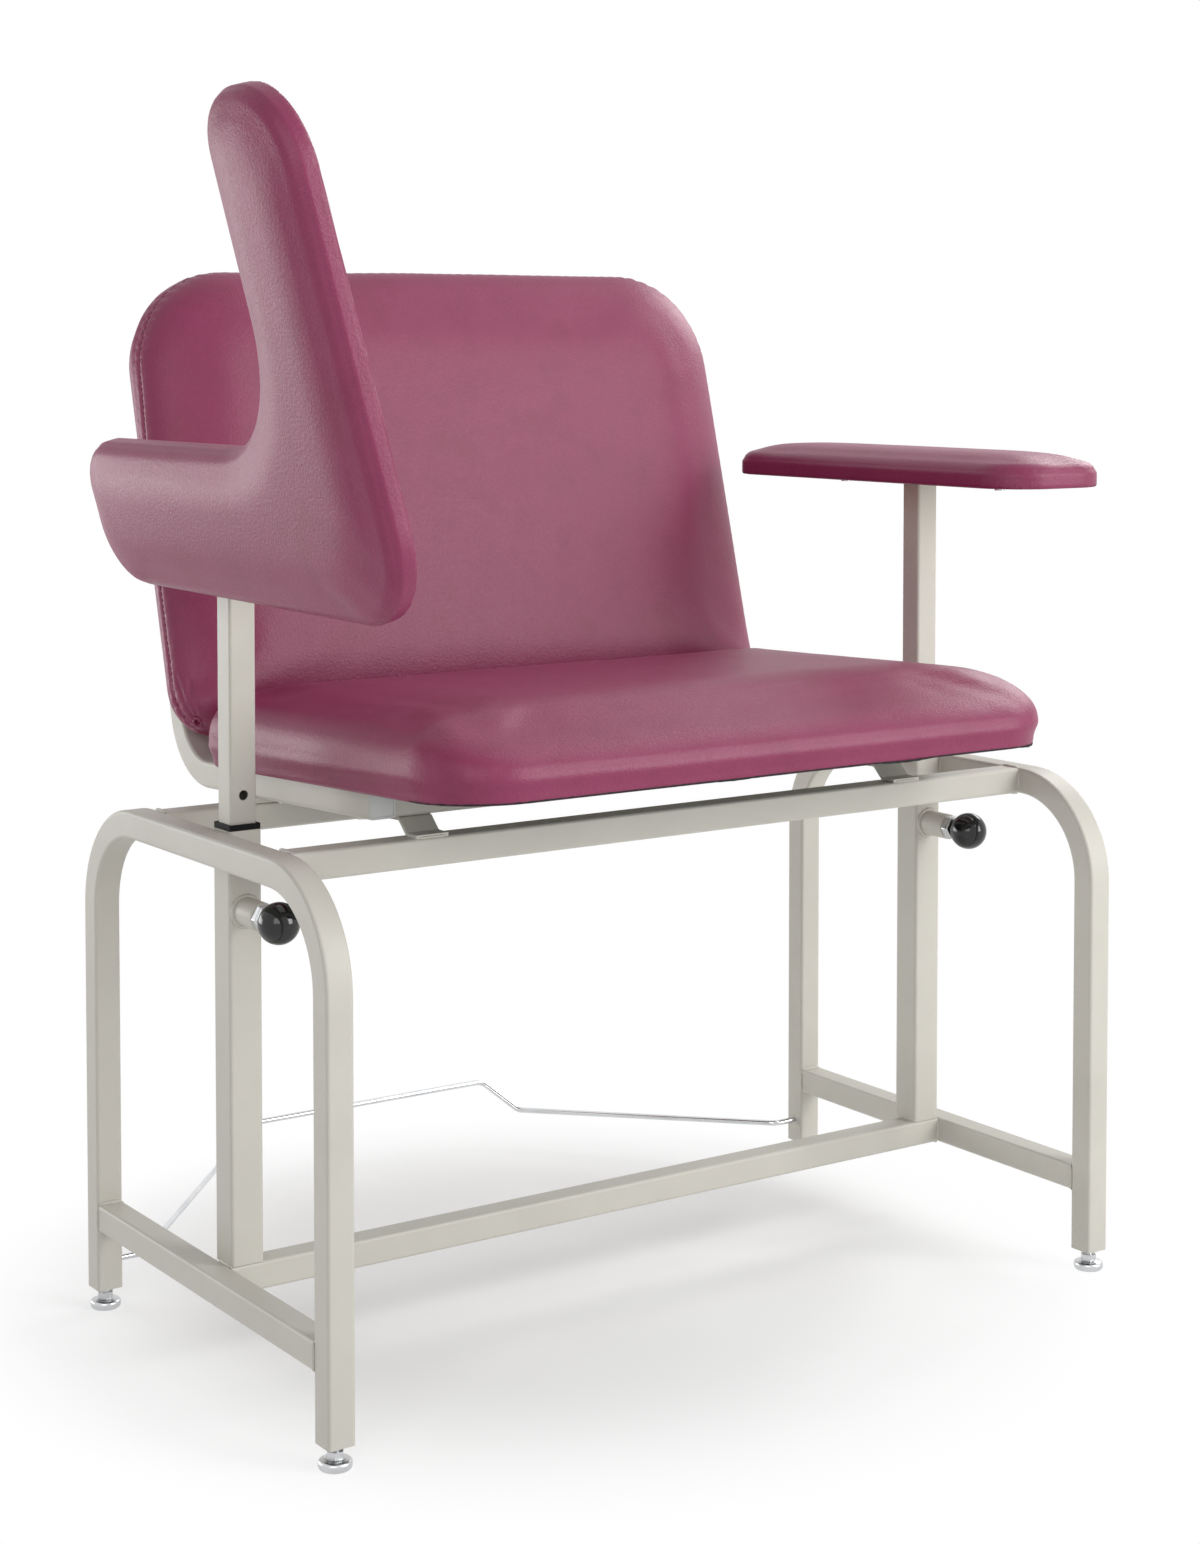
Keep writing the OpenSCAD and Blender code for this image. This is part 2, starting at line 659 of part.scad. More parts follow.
// Sliding posts
module post(side, top) difference() {
  at_post(side) translate([0, 0, post_z]) linear_extrude(top - post_z) tube2d(post_side, tube_wall);
  for (k = [-hole_count : hole_count])
    at_plunger(side) translate([0, k * hole_pitch, post_side / 2 - tube_wall - overrun])
      cylinder(d = hole_d, h = tube_wall + 2 * overrun);
}
module post_right() color(frame_paint) chair() difference() {
  post(right, post_top_right);
  at_post(right) translate([0, 0, pivot_z]) rotate([90, 0, 0])
    cylinder(d = pivot_d + 2 * running_gap, h = post_side + 2 * overrun, center = true);
}
module post_left() color(frame_paint) chair() post(left, post_top_left);

module guide_plug(side) at_post(side) {
  translate([0, 0, post_z - guide_h]) linear_extrude(guide_h) square(guide_side, center = true);
  translate([0, 0, post_z]) linear_extrude(guide_l) square(stub_side, center = true);
}
module guide_plug_right() color(black_plastic) chair() guide_plug(right);
module guide_plug_left() color(black_plastic) chair() guide_plug(left);

// Screws along Z with the head below z 0
module screw(l) {
  translate([0, 0, -screw_head_h]) cylinder(d = screw_head_d, h = screw_head_h);
  cylinder(d = screw_d, h = l);
}
module screw_hole(l) translate([0, 0, -overrun]) cylinder(d = screw_d + 2 * press_gap, h = l + overrun);

// Flat bar under an arm board, its underside at z 0
module arm_bar() translate([-arm_bar_w / 2, -arm_bar_l / 2, 0]) cube([arm_bar_w, arm_bar_l, arm_bar_t]);
module at_arm_screws(places) for (y = places) translate([0, y, 0]) children();
flip_screw_places = [-arm_screw_y, -inner_screw_y, inner_screw_y, arm_screw_y];
side_screw_places = [-arm_screw_y, arm_screw_y];

// Side arm
module side_arm_bar() color(frame_paint) chair() at_post(left) translate([0, 0, post_top_left]) difference() {
  arm_bar();
  at_arm_screws(side_screw_places) screw_hole(arm_bar_t + overrun);
}
module side_screws() color(bright_metal) chair() at_post(left) translate([0, 0, post_top_left])
  at_arm_screws(side_screw_places) screw(arm_bar_t + screw_grip);

function side_corners(d) = box_corners(
  d - side_pad_w / 2, side_pad_w / 2 - d, side_pad_y - side_pad_l / 2 + d, side_pad_y + side_pad_l / 2 - d);
side_radii = [side_pad_r, side_pad_r, side_pad_r, side_pad_r];
module side_board() color(plywood) chair() at_post(left) difference() {
  translate([0, 0, arm_z]) linear_extrude(board_t)
    polygon(rounded_outline(side_corners(0), side_radii, board_inset));
  translate([0, 0, post_top_left]) at_arm_screws(side_screw_places)
    screw_hole(arm_bar_t + screw_grip + running_gap);
}
module side_pad() color(vinyl) chair() at_post(left) translate([0, 0, arm_z + board_t])
  cushion(side_corners(0), side_radii, [0, side_pad_y], arm_pad_t - board_t, pad_edge_r, arm_crown, arm_run);

// Flip arm, drawn lowered round its pivot and turned up to its rest
module ear2d() difference() {
  union() {
    link2d([0, 0], ear_r, stop_at, stop_boss_r);
    translate([-ear_r, 0]) square([ear_w, bar_w0]);
  }
  circle(d = pivot_d + 2 * running_gap);
  translate(stop_at) circle(d = stop_pin_d + 2 * press_gap);
}
module flip_bracket() color(frame_paint) chair() flip_pose() {
  translate([0, 0, bar_w0]) difference() {
    arm_bar();
    at_arm_screws(flip_screw_places) screw_hole(arm_bar_t + overrun);
  }
  for (y = [-ear_reach, ear_reach + ear_t])
    translate([0, y, 0]) rotate([90, 0, 0]) linear_extrude(ear_t) ear2d();
}
module stop_pin() color(bright_metal) chair() flip_pose()
  translate([stop_at[0], 0, stop_at[1]]) rotate([90, 0, 0])
    cylinder(d = stop_pin_d, h = 2 * (ear_reach + ear_t), center = true);
module flip_bumper() color(black_plastic) chair() flip_pose()
  translate([-bumper_out, -bumper_l / 2, bumper_w0]) cube([bumper_w, bumper_l, pivot_drop - bumper_w0]);
module flip_screws() color(bright_metal) chair() flip_pose() translate([0, 0, bar_w0])
  at_arm_screws(flip_screw_places) screw(arm_bar_t + screw_grip);
module flip_board() color(plywood) chair() flip_pose() difference() {
  translate([0, 0, pivot_drop]) linear_extrude(board_t)
    polygon(rounded_outline(flip_corners, flip_radii, board_inset));
  translate([0, 0, bar_w0]) at_arm_screws(flip_screw_places) screw_hole(arm_bar_t + screw_grip + running_gap);
}
module flip_pad() color(vinyl) chair() flip_pose() translate([0, 0, pivot_drop + board_t])
  cushion(flip_corners, flip_radii, flip_heart, arm_pad_t - board_t, pad_edge_r, arm_crown, arm_run);

module at_pivot() at_post(right) translate([0, 0, pivot_z]) rotate([90, 0, 0]) children();
bolt_seat = ear_reach + ear_t + ear_gap;
module pivot_bolt() color(bright_metal) chair() at_pivot() {
  translate([0, 0, -bolt_seat - nut_h]) cylinder(d = pivot_d, h = 2 * bolt_seat + nut_h);
  translate([0, 0, bolt_seat]) hex(bolt_head_af, bolt_head_h);
}
module pivot_nut() color(bright_metal) chair() at_pivot() translate([0, 0, -bolt_seat - nut_h]) difference() {
  hex(bolt_head_af, nut_h);
  translate([0, 0, -overrun]) cylinder(d = pivot_d + 2 * press_gap, h = nut_h + 2 * overrun);
}

// Seat frame
module at_seat_screws() for (y = seat_screw_y) translate([0, y, -seat_tube]) children();
module at_back_screws() for (s = back_screw_s) translate([0, s, -seat_tube]) children();
side_tube_x = (seat_frame_w - seat_tube) / 2;
module seat_tube_side(side) difference() {
  seat_pose() translate([side * side_tube_x, 0, 0]) difference() {
    slab_x(seat_tube) bent2d(-seat_tube_y, upright_l, seat_tube);
    slab_x(seat_tube - 2 * tube_wall)
      bent2d(-seat_tube_y - overrun, upright_l + overrun, seat_tube - 2 * tube_wall);
    at_seat_screws() screw_hole(seat_tube + overrun);
  }
  back_pose() translate([side * side_tube_x, 0, 0]) at_back_screws() screw_hole(seat_tube + overrun);
}
module seat_tube_right() color(frame_paint) chair() seat_tube_side(right);
module seat_tube_left() color(frame_paint) chair() seat_tube_side(left);
module seat_cross(y) seat_pose() translate([0, y, -seat_tube / 2]) tube_x(2 * seat_inner_x, seat_tube);
module seat_cross_front() color(frame_paint) chair() seat_cross(seat_tube / 2 - seat_tube_y);
module seat_cross_rear() color(frame_paint) chair() seat_cross(cross_rear_y);
module back_cross() color(frame_paint) chair() back_pose()
  translate([0, back_cross_s, -seat_tube / 2]) tube_x(2 * seat_inner_x, seat_tube);

// Plug with its head on z 0 and its stub below
module tube_plug() {
  linear_extrude(plug_head) square(seat_tube, center = true);
  translate([0, 0, -plug_l]) linear_extrude(plug_l)
    square(seat_tube - 2 * tube_wall - 2 * press_gap, center = true);
}
module tube_plugs() color(grey_plastic) chair() for (side = [right, left]) {
  seat_pose() translate([side * side_tube_x, -seat_tube_y, -seat_tube / 2]) rotate([90, 0, 0]) tube_plug();
  back_pose() translate([side * side_tube_x, upright_l, -seat_tube / 2]) rotate([-90, 0, 0]) tube_plug();
}

// Z-shaped straps from the front cross tube down to the front rail
module front_straps() color(frame_paint) chair() for (side = [right, left])
  translate([side * strap_x - strap_shift, 0, 0]) slab_x(strap_w) polygon(strap_outline());
function strap_corners() =
  let (
    back_y = seat_tube - seat_tube_y,
    lip_y = -seat_tube_y,
    foot_front = -(rail_pitch + tube) / 2,
    foot_back = foot_front + strap_foot,
    foot_top = frame_top + strap_t
  )
  [
    [back_y, tube_under(back_y)], [lip_y, tube_under(lip_y)], [foot_back, foot_top],
    [foot_front, foot_top], [foot_front, frame_top], [foot_back + strap_t / 2, frame_top],
    [lip_y + strap_t / 2, tube_under(lip_y) - strap_t], [back_y, tube_under(back_y) - strap_t]
  ];
function strap_outline() =
  let (q = strap_corners(), r = [0, 2, -1, 0, 0, 2, -1, 0] * strap_t)
  [for (i = [0 : len(q) - 1]) each r[i] == 0 ? [q[i]] : corner_arc(q, r, i, 0, strap_steps)];
strap_steps = 4;

// Tapered plates that fill the space between the rear rail and the side tubes
plate_lip = 3;
plate_front = (rail_pitch - tube) / 2;
plate_rear = (rail_pitch + tube) / 2;
module rear_mount_plates() color(frame_paint) chair() for (side = [right, left])
  translate([side * side_tube_x, 0, 0]) slab_x(seat_tube + 2 * plate_lip) polygon([
    [plate_front, frame_top], [plate_rear, frame_top],
    [plate_rear, tube_under(plate_rear)], [plate_front, tube_under(plate_front)]
  ]);

// Seat
seat_corners = box_corners(-seat_w / 2, seat_w / 2, -seat_front_y, seat_rear_y);
seat_radii = [seat_front_r, seat_rear_r, seat_rear_r, seat_front_r];
seat_run = cushion_edge_r * 4;
module seat_board() color(plywood) chair() seat_pose() difference() {
  linear_extrude(board_t) polygon(rounded_outline(seat_corners, seat_radii, wrap));
  for (side = [right, left]) translate([side * side_tube_x, 0, 0]) at_seat_screws()
    screw_hole(seat_tube + screw_grip + running_gap);
}
module seat_pad() color(vinyl) chair() seat_pose() translate([0, 0, board_t]) cushion(
  seat_corners, seat_radii, [0, 0], seat_t - board_t, cushion_edge_r, seat_crown, seat_run,
  -seat_front_y, seat_fall);

// Dust cloth: one piece in front of the tubes and one between them
module dust_cloth2d() {
  panel_x = seat_inner_x - cloth_gap;
  panel_y0 = seat_tube - seat_tube_y + cloth_gap;
  panel_y1 = cross_rear_y - seat_tube / 2 - cloth_gap;
  intersection() {
    polygon(rounded_outline(seat_corners, seat_radii, cloth_inset));
    translate([-seat_w / 2, -seat_front_y])
      square([seat_w, seat_front_y - seat_tube_y - plug_head - cloth_gap]);
  }
  translate([-panel_x, panel_y0]) square([2 * panel_x, panel_y1 - panel_y0]);
}
module seat_dust_cover() color(black_cloth) chair() seat_pose() translate([0, 0, -cloth_t])
  linear_extrude(cloth_t) dust_cloth2d();
module seat_screws() color(bright_metal) chair() seat_pose() for (side = [right, left])
  translate([side * side_tube_x, 0, 0]) at_seat_screws() screw(seat_tube + screw_grip);

// Back
back_corners = box_corners(-seat_w / 2, seat_w / 2, -back_drop, back_h - back_drop);
back_radii = [back_low_r, back_top_r, back_top_r, back_low_r];
module back_board() color(plywood) chair() back_pose() difference() {
  linear_extrude(board_t) polygon(rounded_outline(back_corners, back_radii, wrap));
  for (side = [right, left]) translate([side * side_tube_x, 0, 0]) at_back_screws()
    screw_hole(seat_tube + screw_grip + running_gap);
}
module back_pad() color(vinyl) chair() back_pose() translate([0, 0, board_t])
  cushion(back_corners, back_radii, [0, back_h / 2], back_t - board_t, cushion_edge_r, back_crown, seat_run);
module back_screws() color(bright_metal) chair() back_pose() for (side = [right, left])
  translate([side * side_tube_x, 0, 0]) at_back_screws() screw(seat_tube + screw_grip);

// Wall guard: one wire with round bends
guard_path = [
  [-guard_end_x, guard_hole_y, guard_z], [-elbow_x, guard_hole_y, guard_z], [-knee_x, knee_y, knee_z],
  [-rear_bend_x, guard_y, guard_bar_z], [rear_bend_x, guard_y, guard_bar_z], [knee_x, knee_y, knee_z],
  [elbow_x, guard_hole_y, guard_z], [guard_end_x, guard_hole_y, guard_z]
];
function wire_dir(p, i) = unit(p[i + 1] - p[i]);
function wire_turn(p, i) = i <= 0 || i >= len(p) - 1 ? 0 : acos(wire_dir(p, i - 1) * wire_dir(p, i));
function bend_cut(p, i) = wire_bend_r * tan(wire_turn(p, i) / 2);
module wire_run(p, i) {
  d = wire_dir(p, i);
  a = p[i] + d * (bend_cut(p, i) - (i > 0 ? wire_lap : 0));
  b = p[i + 1] - d * (bend_cut(p, i + 1) - (i < len(p) - 2 ? wire_lap : 0));
  translate(a) rotate([0, acos(d[2]), atan2(d[1], d[0])]) cylinder(d = run_d, h = norm(b - a));
}
module wire_bend(p, i) {
  d1 = wire_dir(p, i - 1);
  d2 = wire_dir(p, i);
  in = unit(d2 - d1 * (d1 * d2));
  c = p[i] - d1 * bend_cut(p, i) + in * wire_bend_r;
  z = cross(-in, d1);
  multmatrix([
    [-in[0], d1[0], z[0], c[0]],
    [-in[1], d1[1], z[1], c[1]],
    [-in[2], d1[2], z[2], c[2]],
    [0, 0, 0, 1]
  ]) rotate_extrude(angle = wire_turn(p, i)) translate([wire_bend_r, 0]) circle(d = wire_d);
}
module wall_guard() color(bright_metal) chair() {
  for (i = [0 : len(guard_path) - 2]) wire_run(guard_path, i);
  for (i = [1 : len(guard_path) - 2]) wire_bend(guard_path, i);
}

side_frame_right();
side_frame_left();
side_rail_right();
side_rail_left();
crossbar();
front_rail();
rear_rail();
sleeve_right();
sleeve_left();
post_bushings();
plunger_bosses();
plunger_bodies();
plunger_spring_right();
plunger_spring_left();
plunger_pin_right();
plunger_pin_left();
knob_right();
knob_left();
post_right();
post_left();
guide_plug_right();
guide_plug_left();
pivot_bolt();
pivot_nut();
flip_bracket();
stop_pin();
flip_bumper();
flip_board();
flip_pad();
flip_screws();
side_arm_bar();
side_board();
side_pad();
side_screws();
seat_tube_right();
seat_tube_left();
seat_cross_front();
seat_cross_rear();
back_cross();
tube_plugs();
front_straps();
rear_mount_plates();
seat_board();
seat_pad();
seat_dust_cover();
seat_screws();
back_board();
back_pad();
back_screws();
wall_guard();
leg_inserts();
foot_stem_front_right();
foot_stem_front_left();
foot_stem_rear_right();
foot_stem_rear_left();
foot_pad_front_right();
foot_pad_front_left();
foot_pad_rear_right();
foot_pad_rear_left();
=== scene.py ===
import json
import math
from dataclasses import dataclass

import bmesh
import bpy
import numpy as np
from mathutils import Matrix, Vector, noise
from mathutils.bvhtree import BVHTree
from mathutils.kdtree import KDTree


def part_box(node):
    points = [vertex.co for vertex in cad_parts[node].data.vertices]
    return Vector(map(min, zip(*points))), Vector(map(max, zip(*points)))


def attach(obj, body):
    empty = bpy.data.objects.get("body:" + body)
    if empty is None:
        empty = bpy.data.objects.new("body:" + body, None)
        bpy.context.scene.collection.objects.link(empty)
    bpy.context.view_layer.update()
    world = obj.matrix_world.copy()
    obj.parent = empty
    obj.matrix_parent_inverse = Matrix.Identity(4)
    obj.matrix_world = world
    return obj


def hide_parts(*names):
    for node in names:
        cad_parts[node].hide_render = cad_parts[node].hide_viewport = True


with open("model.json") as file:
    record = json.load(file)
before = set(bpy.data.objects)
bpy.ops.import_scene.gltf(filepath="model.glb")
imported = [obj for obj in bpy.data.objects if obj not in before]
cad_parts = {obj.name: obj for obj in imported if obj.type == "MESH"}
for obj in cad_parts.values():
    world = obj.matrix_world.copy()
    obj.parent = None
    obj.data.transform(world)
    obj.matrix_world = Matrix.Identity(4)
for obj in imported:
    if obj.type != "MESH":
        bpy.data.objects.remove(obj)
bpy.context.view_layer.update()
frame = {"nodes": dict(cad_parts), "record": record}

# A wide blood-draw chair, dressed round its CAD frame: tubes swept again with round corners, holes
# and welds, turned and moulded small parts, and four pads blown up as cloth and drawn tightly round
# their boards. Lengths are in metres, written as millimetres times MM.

MM = 0.001
QUARTER = math.radians(90)

# ---------------------------------------------------------------- places shared with the CAD source
# Right and left are the sitting patient's: right is -X, and the patient looks along -Y.
SIDE_R, SIDE_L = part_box("side_frame_right"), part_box("side_frame_left")
TUBE = SIDE_R[1].x - SIDE_R[0].x
ORIGIN = Vector(((SIDE_R[0].x + SIDE_L[1].x) / 2, (SIDE_R[0].y + SIDE_R[1].y) / 2, 0))
BEND_R = 88.9 * MM                  # centre line of the side frames' bends
SEAT_RISE = math.radians(2.6)       # slope of the seat, front up
RECLINE = math.radians(15)          # lean of the back
SEAT_Z = 522 * MM                   # top of the seat's tubes, at the middle
SEAT_TUBE = 25.4 * MM
SEAT_TUBE_X = (642 * MM - SEAT_TUBE) / 2
SEAT_TUBE_Y = 104.5 * MM            # front end of the seat's side tubes
SEAT_BEND_R = 66 * MM
SEAT_BEND_C = Vector((209 * MM, SEAT_BEND_R - SEAT_TUBE / 2))
UPRIGHT_L = 245 * MM
POST_X = 393.725 * MM
ARM_Z = 771.5 * MM                  # underside of the arm pads
PIVOT_DROP = 31.5 * MM              # flip arm's pivot, below its pad when lowered
FLIP_REST = math.radians(105)
INDEX_Z, INDEX_PITCH = 416 * MM, 33.8 * MM
INDEX_HOLES, INDEX_R = 7, 4.5 * MM
BOARD_T = 12.7 * MM


def link(obj):
    bpy.context.scene.collection.objects.link(obj)
    return obj


# ---------------------------------------------------------------- camera
CAMERA_AT = Vector((-1.4576, -2.1151, 0.9041))
CAMERA_TURN, CAMERA_DIP = math.radians(-34.42), math.radians(2.77)
LENS, SENSOR, SHIFT_Y = 62.872, 36, -0.18792


def camera():
    data = bpy.data.cameras.new("camera")
    data.sensor_width, data.lens, data.shift_y = SENSOR, LENS, SHIFT_Y
    data.clip_start, data.clip_end = 0.1, 60
    cam = link(bpy.data.objects.new("camera", data))
    turn = Matrix.Rotation(CAMERA_TURN, 4, "Z") @ Matrix.Rotation(QUARTER - CAMERA_DIP, 4, "X")
    cam.matrix_world = Matrix.Translation(ORIGIN + CAMERA_AT) @ turn
    bpy.context.scene.camera = cam


camera()
bpy.context.scene.view_settings.view_transform = "Standard"


# ---------------------------------------------------------------- materials
def srgb(r, g, b):
    """Linear colour of an sRGB colour given in 0 to 255."""
    def lin(c):
        c /= 255
        return c / 12.92 if c <= 0.04045 else ((c + 0.055) / 1.055) ** 2.4
    return (lin(r), lin(g), lin(b), 1)


class Tree:
    """Small helper round the node tree of a material or world."""

    def __init__(self, owner, output):
        owner.use_nodes = True
        self.tree = owner.node_tree
        self.tree.nodes.clear()
        self.out = self.add(output)

    def add(self, kind, links=(), **values):
        """New node; values go to its sockets of that name, or else to its own settings."""
        n = self.tree.nodes.new("ShaderNode" + kind)
        for k, v in values.items():
            if k in n.inputs:
                n.inputs[k].default_value = v
            else:
                setattr(n, k, v)
        for socket, source in dict(links).items():
            self.tree.links.new(source, n.inputs[socket])
        return n

    def any_ray(self, first, *others):
        """1 on rays of any of these kinds, 0 on the rest."""
        path = self.add("LightPath").outputs
        seen = path[first]
        for ray in others:
            seen = self.add("Math", {0: seen, 1: path[ray]}, operation="MAXIMUM").outputs[0]
        return seen

    def surface(self, share, a, b):
        """Ends in a mix of two shaders: a where share is 0, b where it is 1."""
        mix = self.add("MixShader", {0: share, 1: a.outputs[0], 2: b.outputs[0]})
        self.tree.links.new(mix.outputs[0], self.out.inputs["Surface"])


class Nodes(Tree):
    """A new material, with the noises and bumps that the looks here are made of."""

    def __init__(self, name):
        self.mat = bpy.data.materials.new(name)
        super().__init__(self.mat, "OutputMaterial")
        self.coord = self.add("TexCoord").outputs["Object"]

    def noise(self, scale, detail=2.0, rough=0.5, coord=None):
        n = self.add("TexNoise", {"Vector": coord or self.coord},
                     Scale=scale, Detail=detail, Roughness=rough)
        return n.outputs["Fac"]

    def ramp(self, fac, stops):
        n = self.add("ValToRGB", {"Fac": fac})
        while len(n.color_ramp.elements) < len(stops):
            n.color_ramp.elements.new(0.5)
        for e, (pos, colour) in zip(n.color_ramp.elements, stops):
            e.position, e.color = pos, colour
        return n.outputs["Color"]

    def span(self, fac, low, high):
        """Takes 0 to 1 to low to high."""
        n = self.add("MapRange", {"Value": fac}, **{"To Min": low, "To Max": high})
        return n.outputs["Result"]

    def bump(self, height, strength, distance, normal=None):
        links = {"Height": height}
        if normal is not None:
            links["Normal"] = normal
        return self.add("Bump", links, Strength=strength, Distance=distance).outputs["Normal"]

    def shader(self, links, **values):
        """Ends in a Principled BSDF; an underscore in a value's name stands for a space."""
        n = self.add("BsdfPrincipled", links)
        for k, v in values.items():
            n.inputs[k.replace("_", " ")].default_value = v
        self.tree.links.new(n.outputs["BSDF"], self.out.inputs["Surface"])
        return self.mat


def shades(*colours):
    """Ramp stops spread evenly over the middle of a noise's range."""
    n = len(colours)
    return [(0.3 + 0.4 * i / (n - 1), srgb(*c)) for i, c in enumerate(colours)]


PAINT = ((187, 184, 175), (192, 189, 180), (189, 186, 177))
VINYL = ((121, 36, 71), (129, 42, 79), (124, 38, 75))
WOOD = ((190, 158, 116), (204, 176, 134), (178, 146, 104))


def frame_paint():
    """Powder coat with a fine orange peel."""
    m = Nodes("frame_paint")
    links = {
        "Base Color": m.ramp(m.noise(9, 3), shades(*PAINT)),
        "Roughness": m.span(m.noise(60, 2), 0.40, 0.5),
        "Normal": m.bump(m.noise(700, 2), 0.12, 0.4 * MM),
    }
    return m.shader(links, Specular_IOR_Level=0.45)


def vinyl():
    """Embossed vinyl: broad shades, fine flecks, and a grain of cells over a softer one."""
    m = Nodes("vinyl")
    broad = m.ramp(m.noise(14, 4, 0.6), shades(*VINYL))
    fleck = m.span(m.noise(520, 2), 0.86, 1.14)
    colour = m.add("VectorMath", {0: broad, 1: fleck}, operation="MULTIPLY").outputs["Vector"]
    cells = m.add("TexVoronoi", {"Vector": m.coord}, Scale=900.0, feature="DISTANCE_TO_EDGE")
    grain = m.bump(m.span(cells.outputs["Distance"], 0.0, 1.0), 0.35, 0.4 * MM)
    grain = m.bump(m.noise(420, 3), 0.45, 0.8 * MM, grain)
    rough = m.span(m.noise(300, 2), 0.38, 0.48)
    links = {"Base Color": colour, "Roughness": rough, "Normal": grain}
    return m.shader(links, Specular_IOR_Level=0.42)


def plywood():
    """Noise drawn out into long fibres."""
    m = Nodes("plywood")
    fibres = m.add("Mapping", {"Vector": m.coord}, Scale=(1, 8, 30)).outputs["Vector"]
    colour = m.ramp(m.noise(6, 6, 0.6, fibres), shades(*WOOD))
    bump = m.bump(m.noise(20, 4, 0.6, fibres), 0.2, 0.6 * MM)
    return m.shader({"Base Color": colour, "Normal": bump}, Roughness=0.7)


def plastic(name, colours, rough, scale=400, strength=0.1, shine=0.5):
    """Moulded plastic or rubber; scale and strength are those of its texture."""
    m = Nodes(name)
    links = {
        "Base Color": m.ramp(m.noise(20, 3), shades(*colours)),
        "Roughness": m.span(m.noise(90, 2), rough - 0.04, rough + 0.04),
        "Normal": m.bump(m.noise(scale, 2), strength, 0.3 * MM),
    }
    return m.shader(links, Specular_IOR_Level=shine)


def metal(name, colours, rough):
    m = Nodes(name)
    links = {
        "Base Color": m.ramp(m.noise(30, 3), shades(*colours)),
        "Roughness": m.span(m.noise(120, 3), rough * 0.7, rough * 1.3),
        "Normal": m.bump(m.noise(300, 3), 0.06, 0.3 * MM),
    }
    return m.shader(links, Metallic=1.0)


def woven(name, colours):
    """Cloth of threads along X and Y."""
    m = Nodes(name)
    colour = m.ramp(m.noise(60, 3), shades(*colours))
    warp, weft = (m.add("TexWave", {"Vector": m.coord}, Scale=160.0, bands_direction=axis)
                  for axis in ("X", "Y"))
    weave = m.add("Math", {0: warp.outputs["Fac"], 1: weft.outputs["Fac"]}, operation="MULTIPLY")
    bump = m.bump(weave.outputs["Value"], 0.5, 0.6 * MM)
    return m.shader({"Base Color": colour, "Normal": bump}, Roughness=0.95)


MATS = {
    "frame_paint": frame_paint(),
    "vinyl": vinyl(),
    "plywood": plywood(),
    "black_plastic": plastic("black_plastic", ((12, 12, 13), (17, 17, 18)), 0.6, shine=0.15),
    "knob_black": plastic("knob_black", ((16, 17, 17), (22, 23, 23)), 0.1, 40, 0.03),
    "grey_plastic": plastic("grey_plastic", ((186, 188, 187), (196, 198, 196)), 0.42),
    "bumper_rubber": plastic("bumper_rubber", ((30, 30, 30), (40, 40, 39)), 0.8),
    "zinc": metal("zinc", ((186, 188, 190), (205, 206, 207), (193, 196, 199)), 0.3),
    "guard_chrome": metal("guard_chrome", ((205, 207, 210), (222, 223, 225)), 0.16),
    "black_cloth": woven("black_cloth", ((24, 23, 24), (36, 35, 36))),
    "thread": plastic("thread", ((128, 70, 92), (144, 82, 104)), 0.8, shine=0.15),
}
SLOT_OF = {s["node"]: s["material_slot"] for s in frame["record"]["subparts"]}
for node, obj in frame["nodes"].items():
    obj.data.materials.clear()
    obj.data.materials.append(MATS[SLOT_OF[node]])


# ---------------------------------------------------------------- stage
WHITE = (1, 1, 1, 1)
SOFT_LIGHT = 0.42                   # strength of the world where the camera doesn't see it
FLOOR_R = 30
FADE = {"From Min": 0.25, "From Max": 0.58, "To Min": 0.1, "To Max": 1.0}
LIGHTS = (                          # name, place, target, size, watts
    ("key", (-2.4, -2.6, 1.9), (0, 0, 0.6), (2.0, 1.8), 27),
    ("left", (-1.9, 2.6, 0.6), (0, 0, 0.75), (2.2, 0.9), 29),
    ("fill", (2.0, -3.0, 1.8), (0, 0, 0.7), (1.6, 2.6), 94),
    ("crest", (1.3, -0.4, 2.7), (0, -0.2, 0.6), (0.9, 0.9), 5),
    ("rim", (2.5, 0.8, 2.0), (0.2, 0.1, 0.8), (1.2, 1.1), 22),
)


def studio_world():
    """Soft light on the object, and plain white for the camera and in reflections."""
    world = bpy.data.worlds.new("studio")
    bpy.context.scene.world = world
    t = Tree(world, "OutputWorld")
    soft = t.add("Background", Color=WHITE, Strength=SOFT_LIGHT)
    white = t.add("Background", Color=WHITE, Strength=1.0)
    seen = t.any_ray("Is Camera Ray", "Is Glossy Ray", "Is Transmission Ray")
    t.surface(seen, soft, white)


def floor():
    """Pale floor that takes the shadow near the object and fades to white away from it."""
    mesh = bpy.data.meshes.new("floor")
    bm = bmesh.new()
    bmesh.ops.create_circle(bm, cap_ends=True, segments=96, radius=FLOOR_R)
    bm.to_mesh(mesh)
    bm.free()
    m = Nodes("floor")
    lit = m.add("BsdfDiffuse", {"Color": m.ramp(m.noise(3, 3), shades([247] * 3, [250] * 3))})
    glow = m.add("Emission", Strength=1.0)
    far = m.add("VectorMath", {0: m.coord}, operation="LENGTH").outputs["Value"]
    fade = m.add("MapRange", {"Value": far}, interpolation_type="SMOOTHSTEP", **FADE)
    seen = m.any_ray("Is Camera Ray", "Is Glossy Ray")
    share = m.add("Math", {0: seen, 1: fade.outputs["Result"]}, operation="MULTIPLY")
    m.surface(share.outputs[0], lit, glow)
    mesh.materials.append(m.mat)
    link(bpy.data.objects.new("floor", mesh))


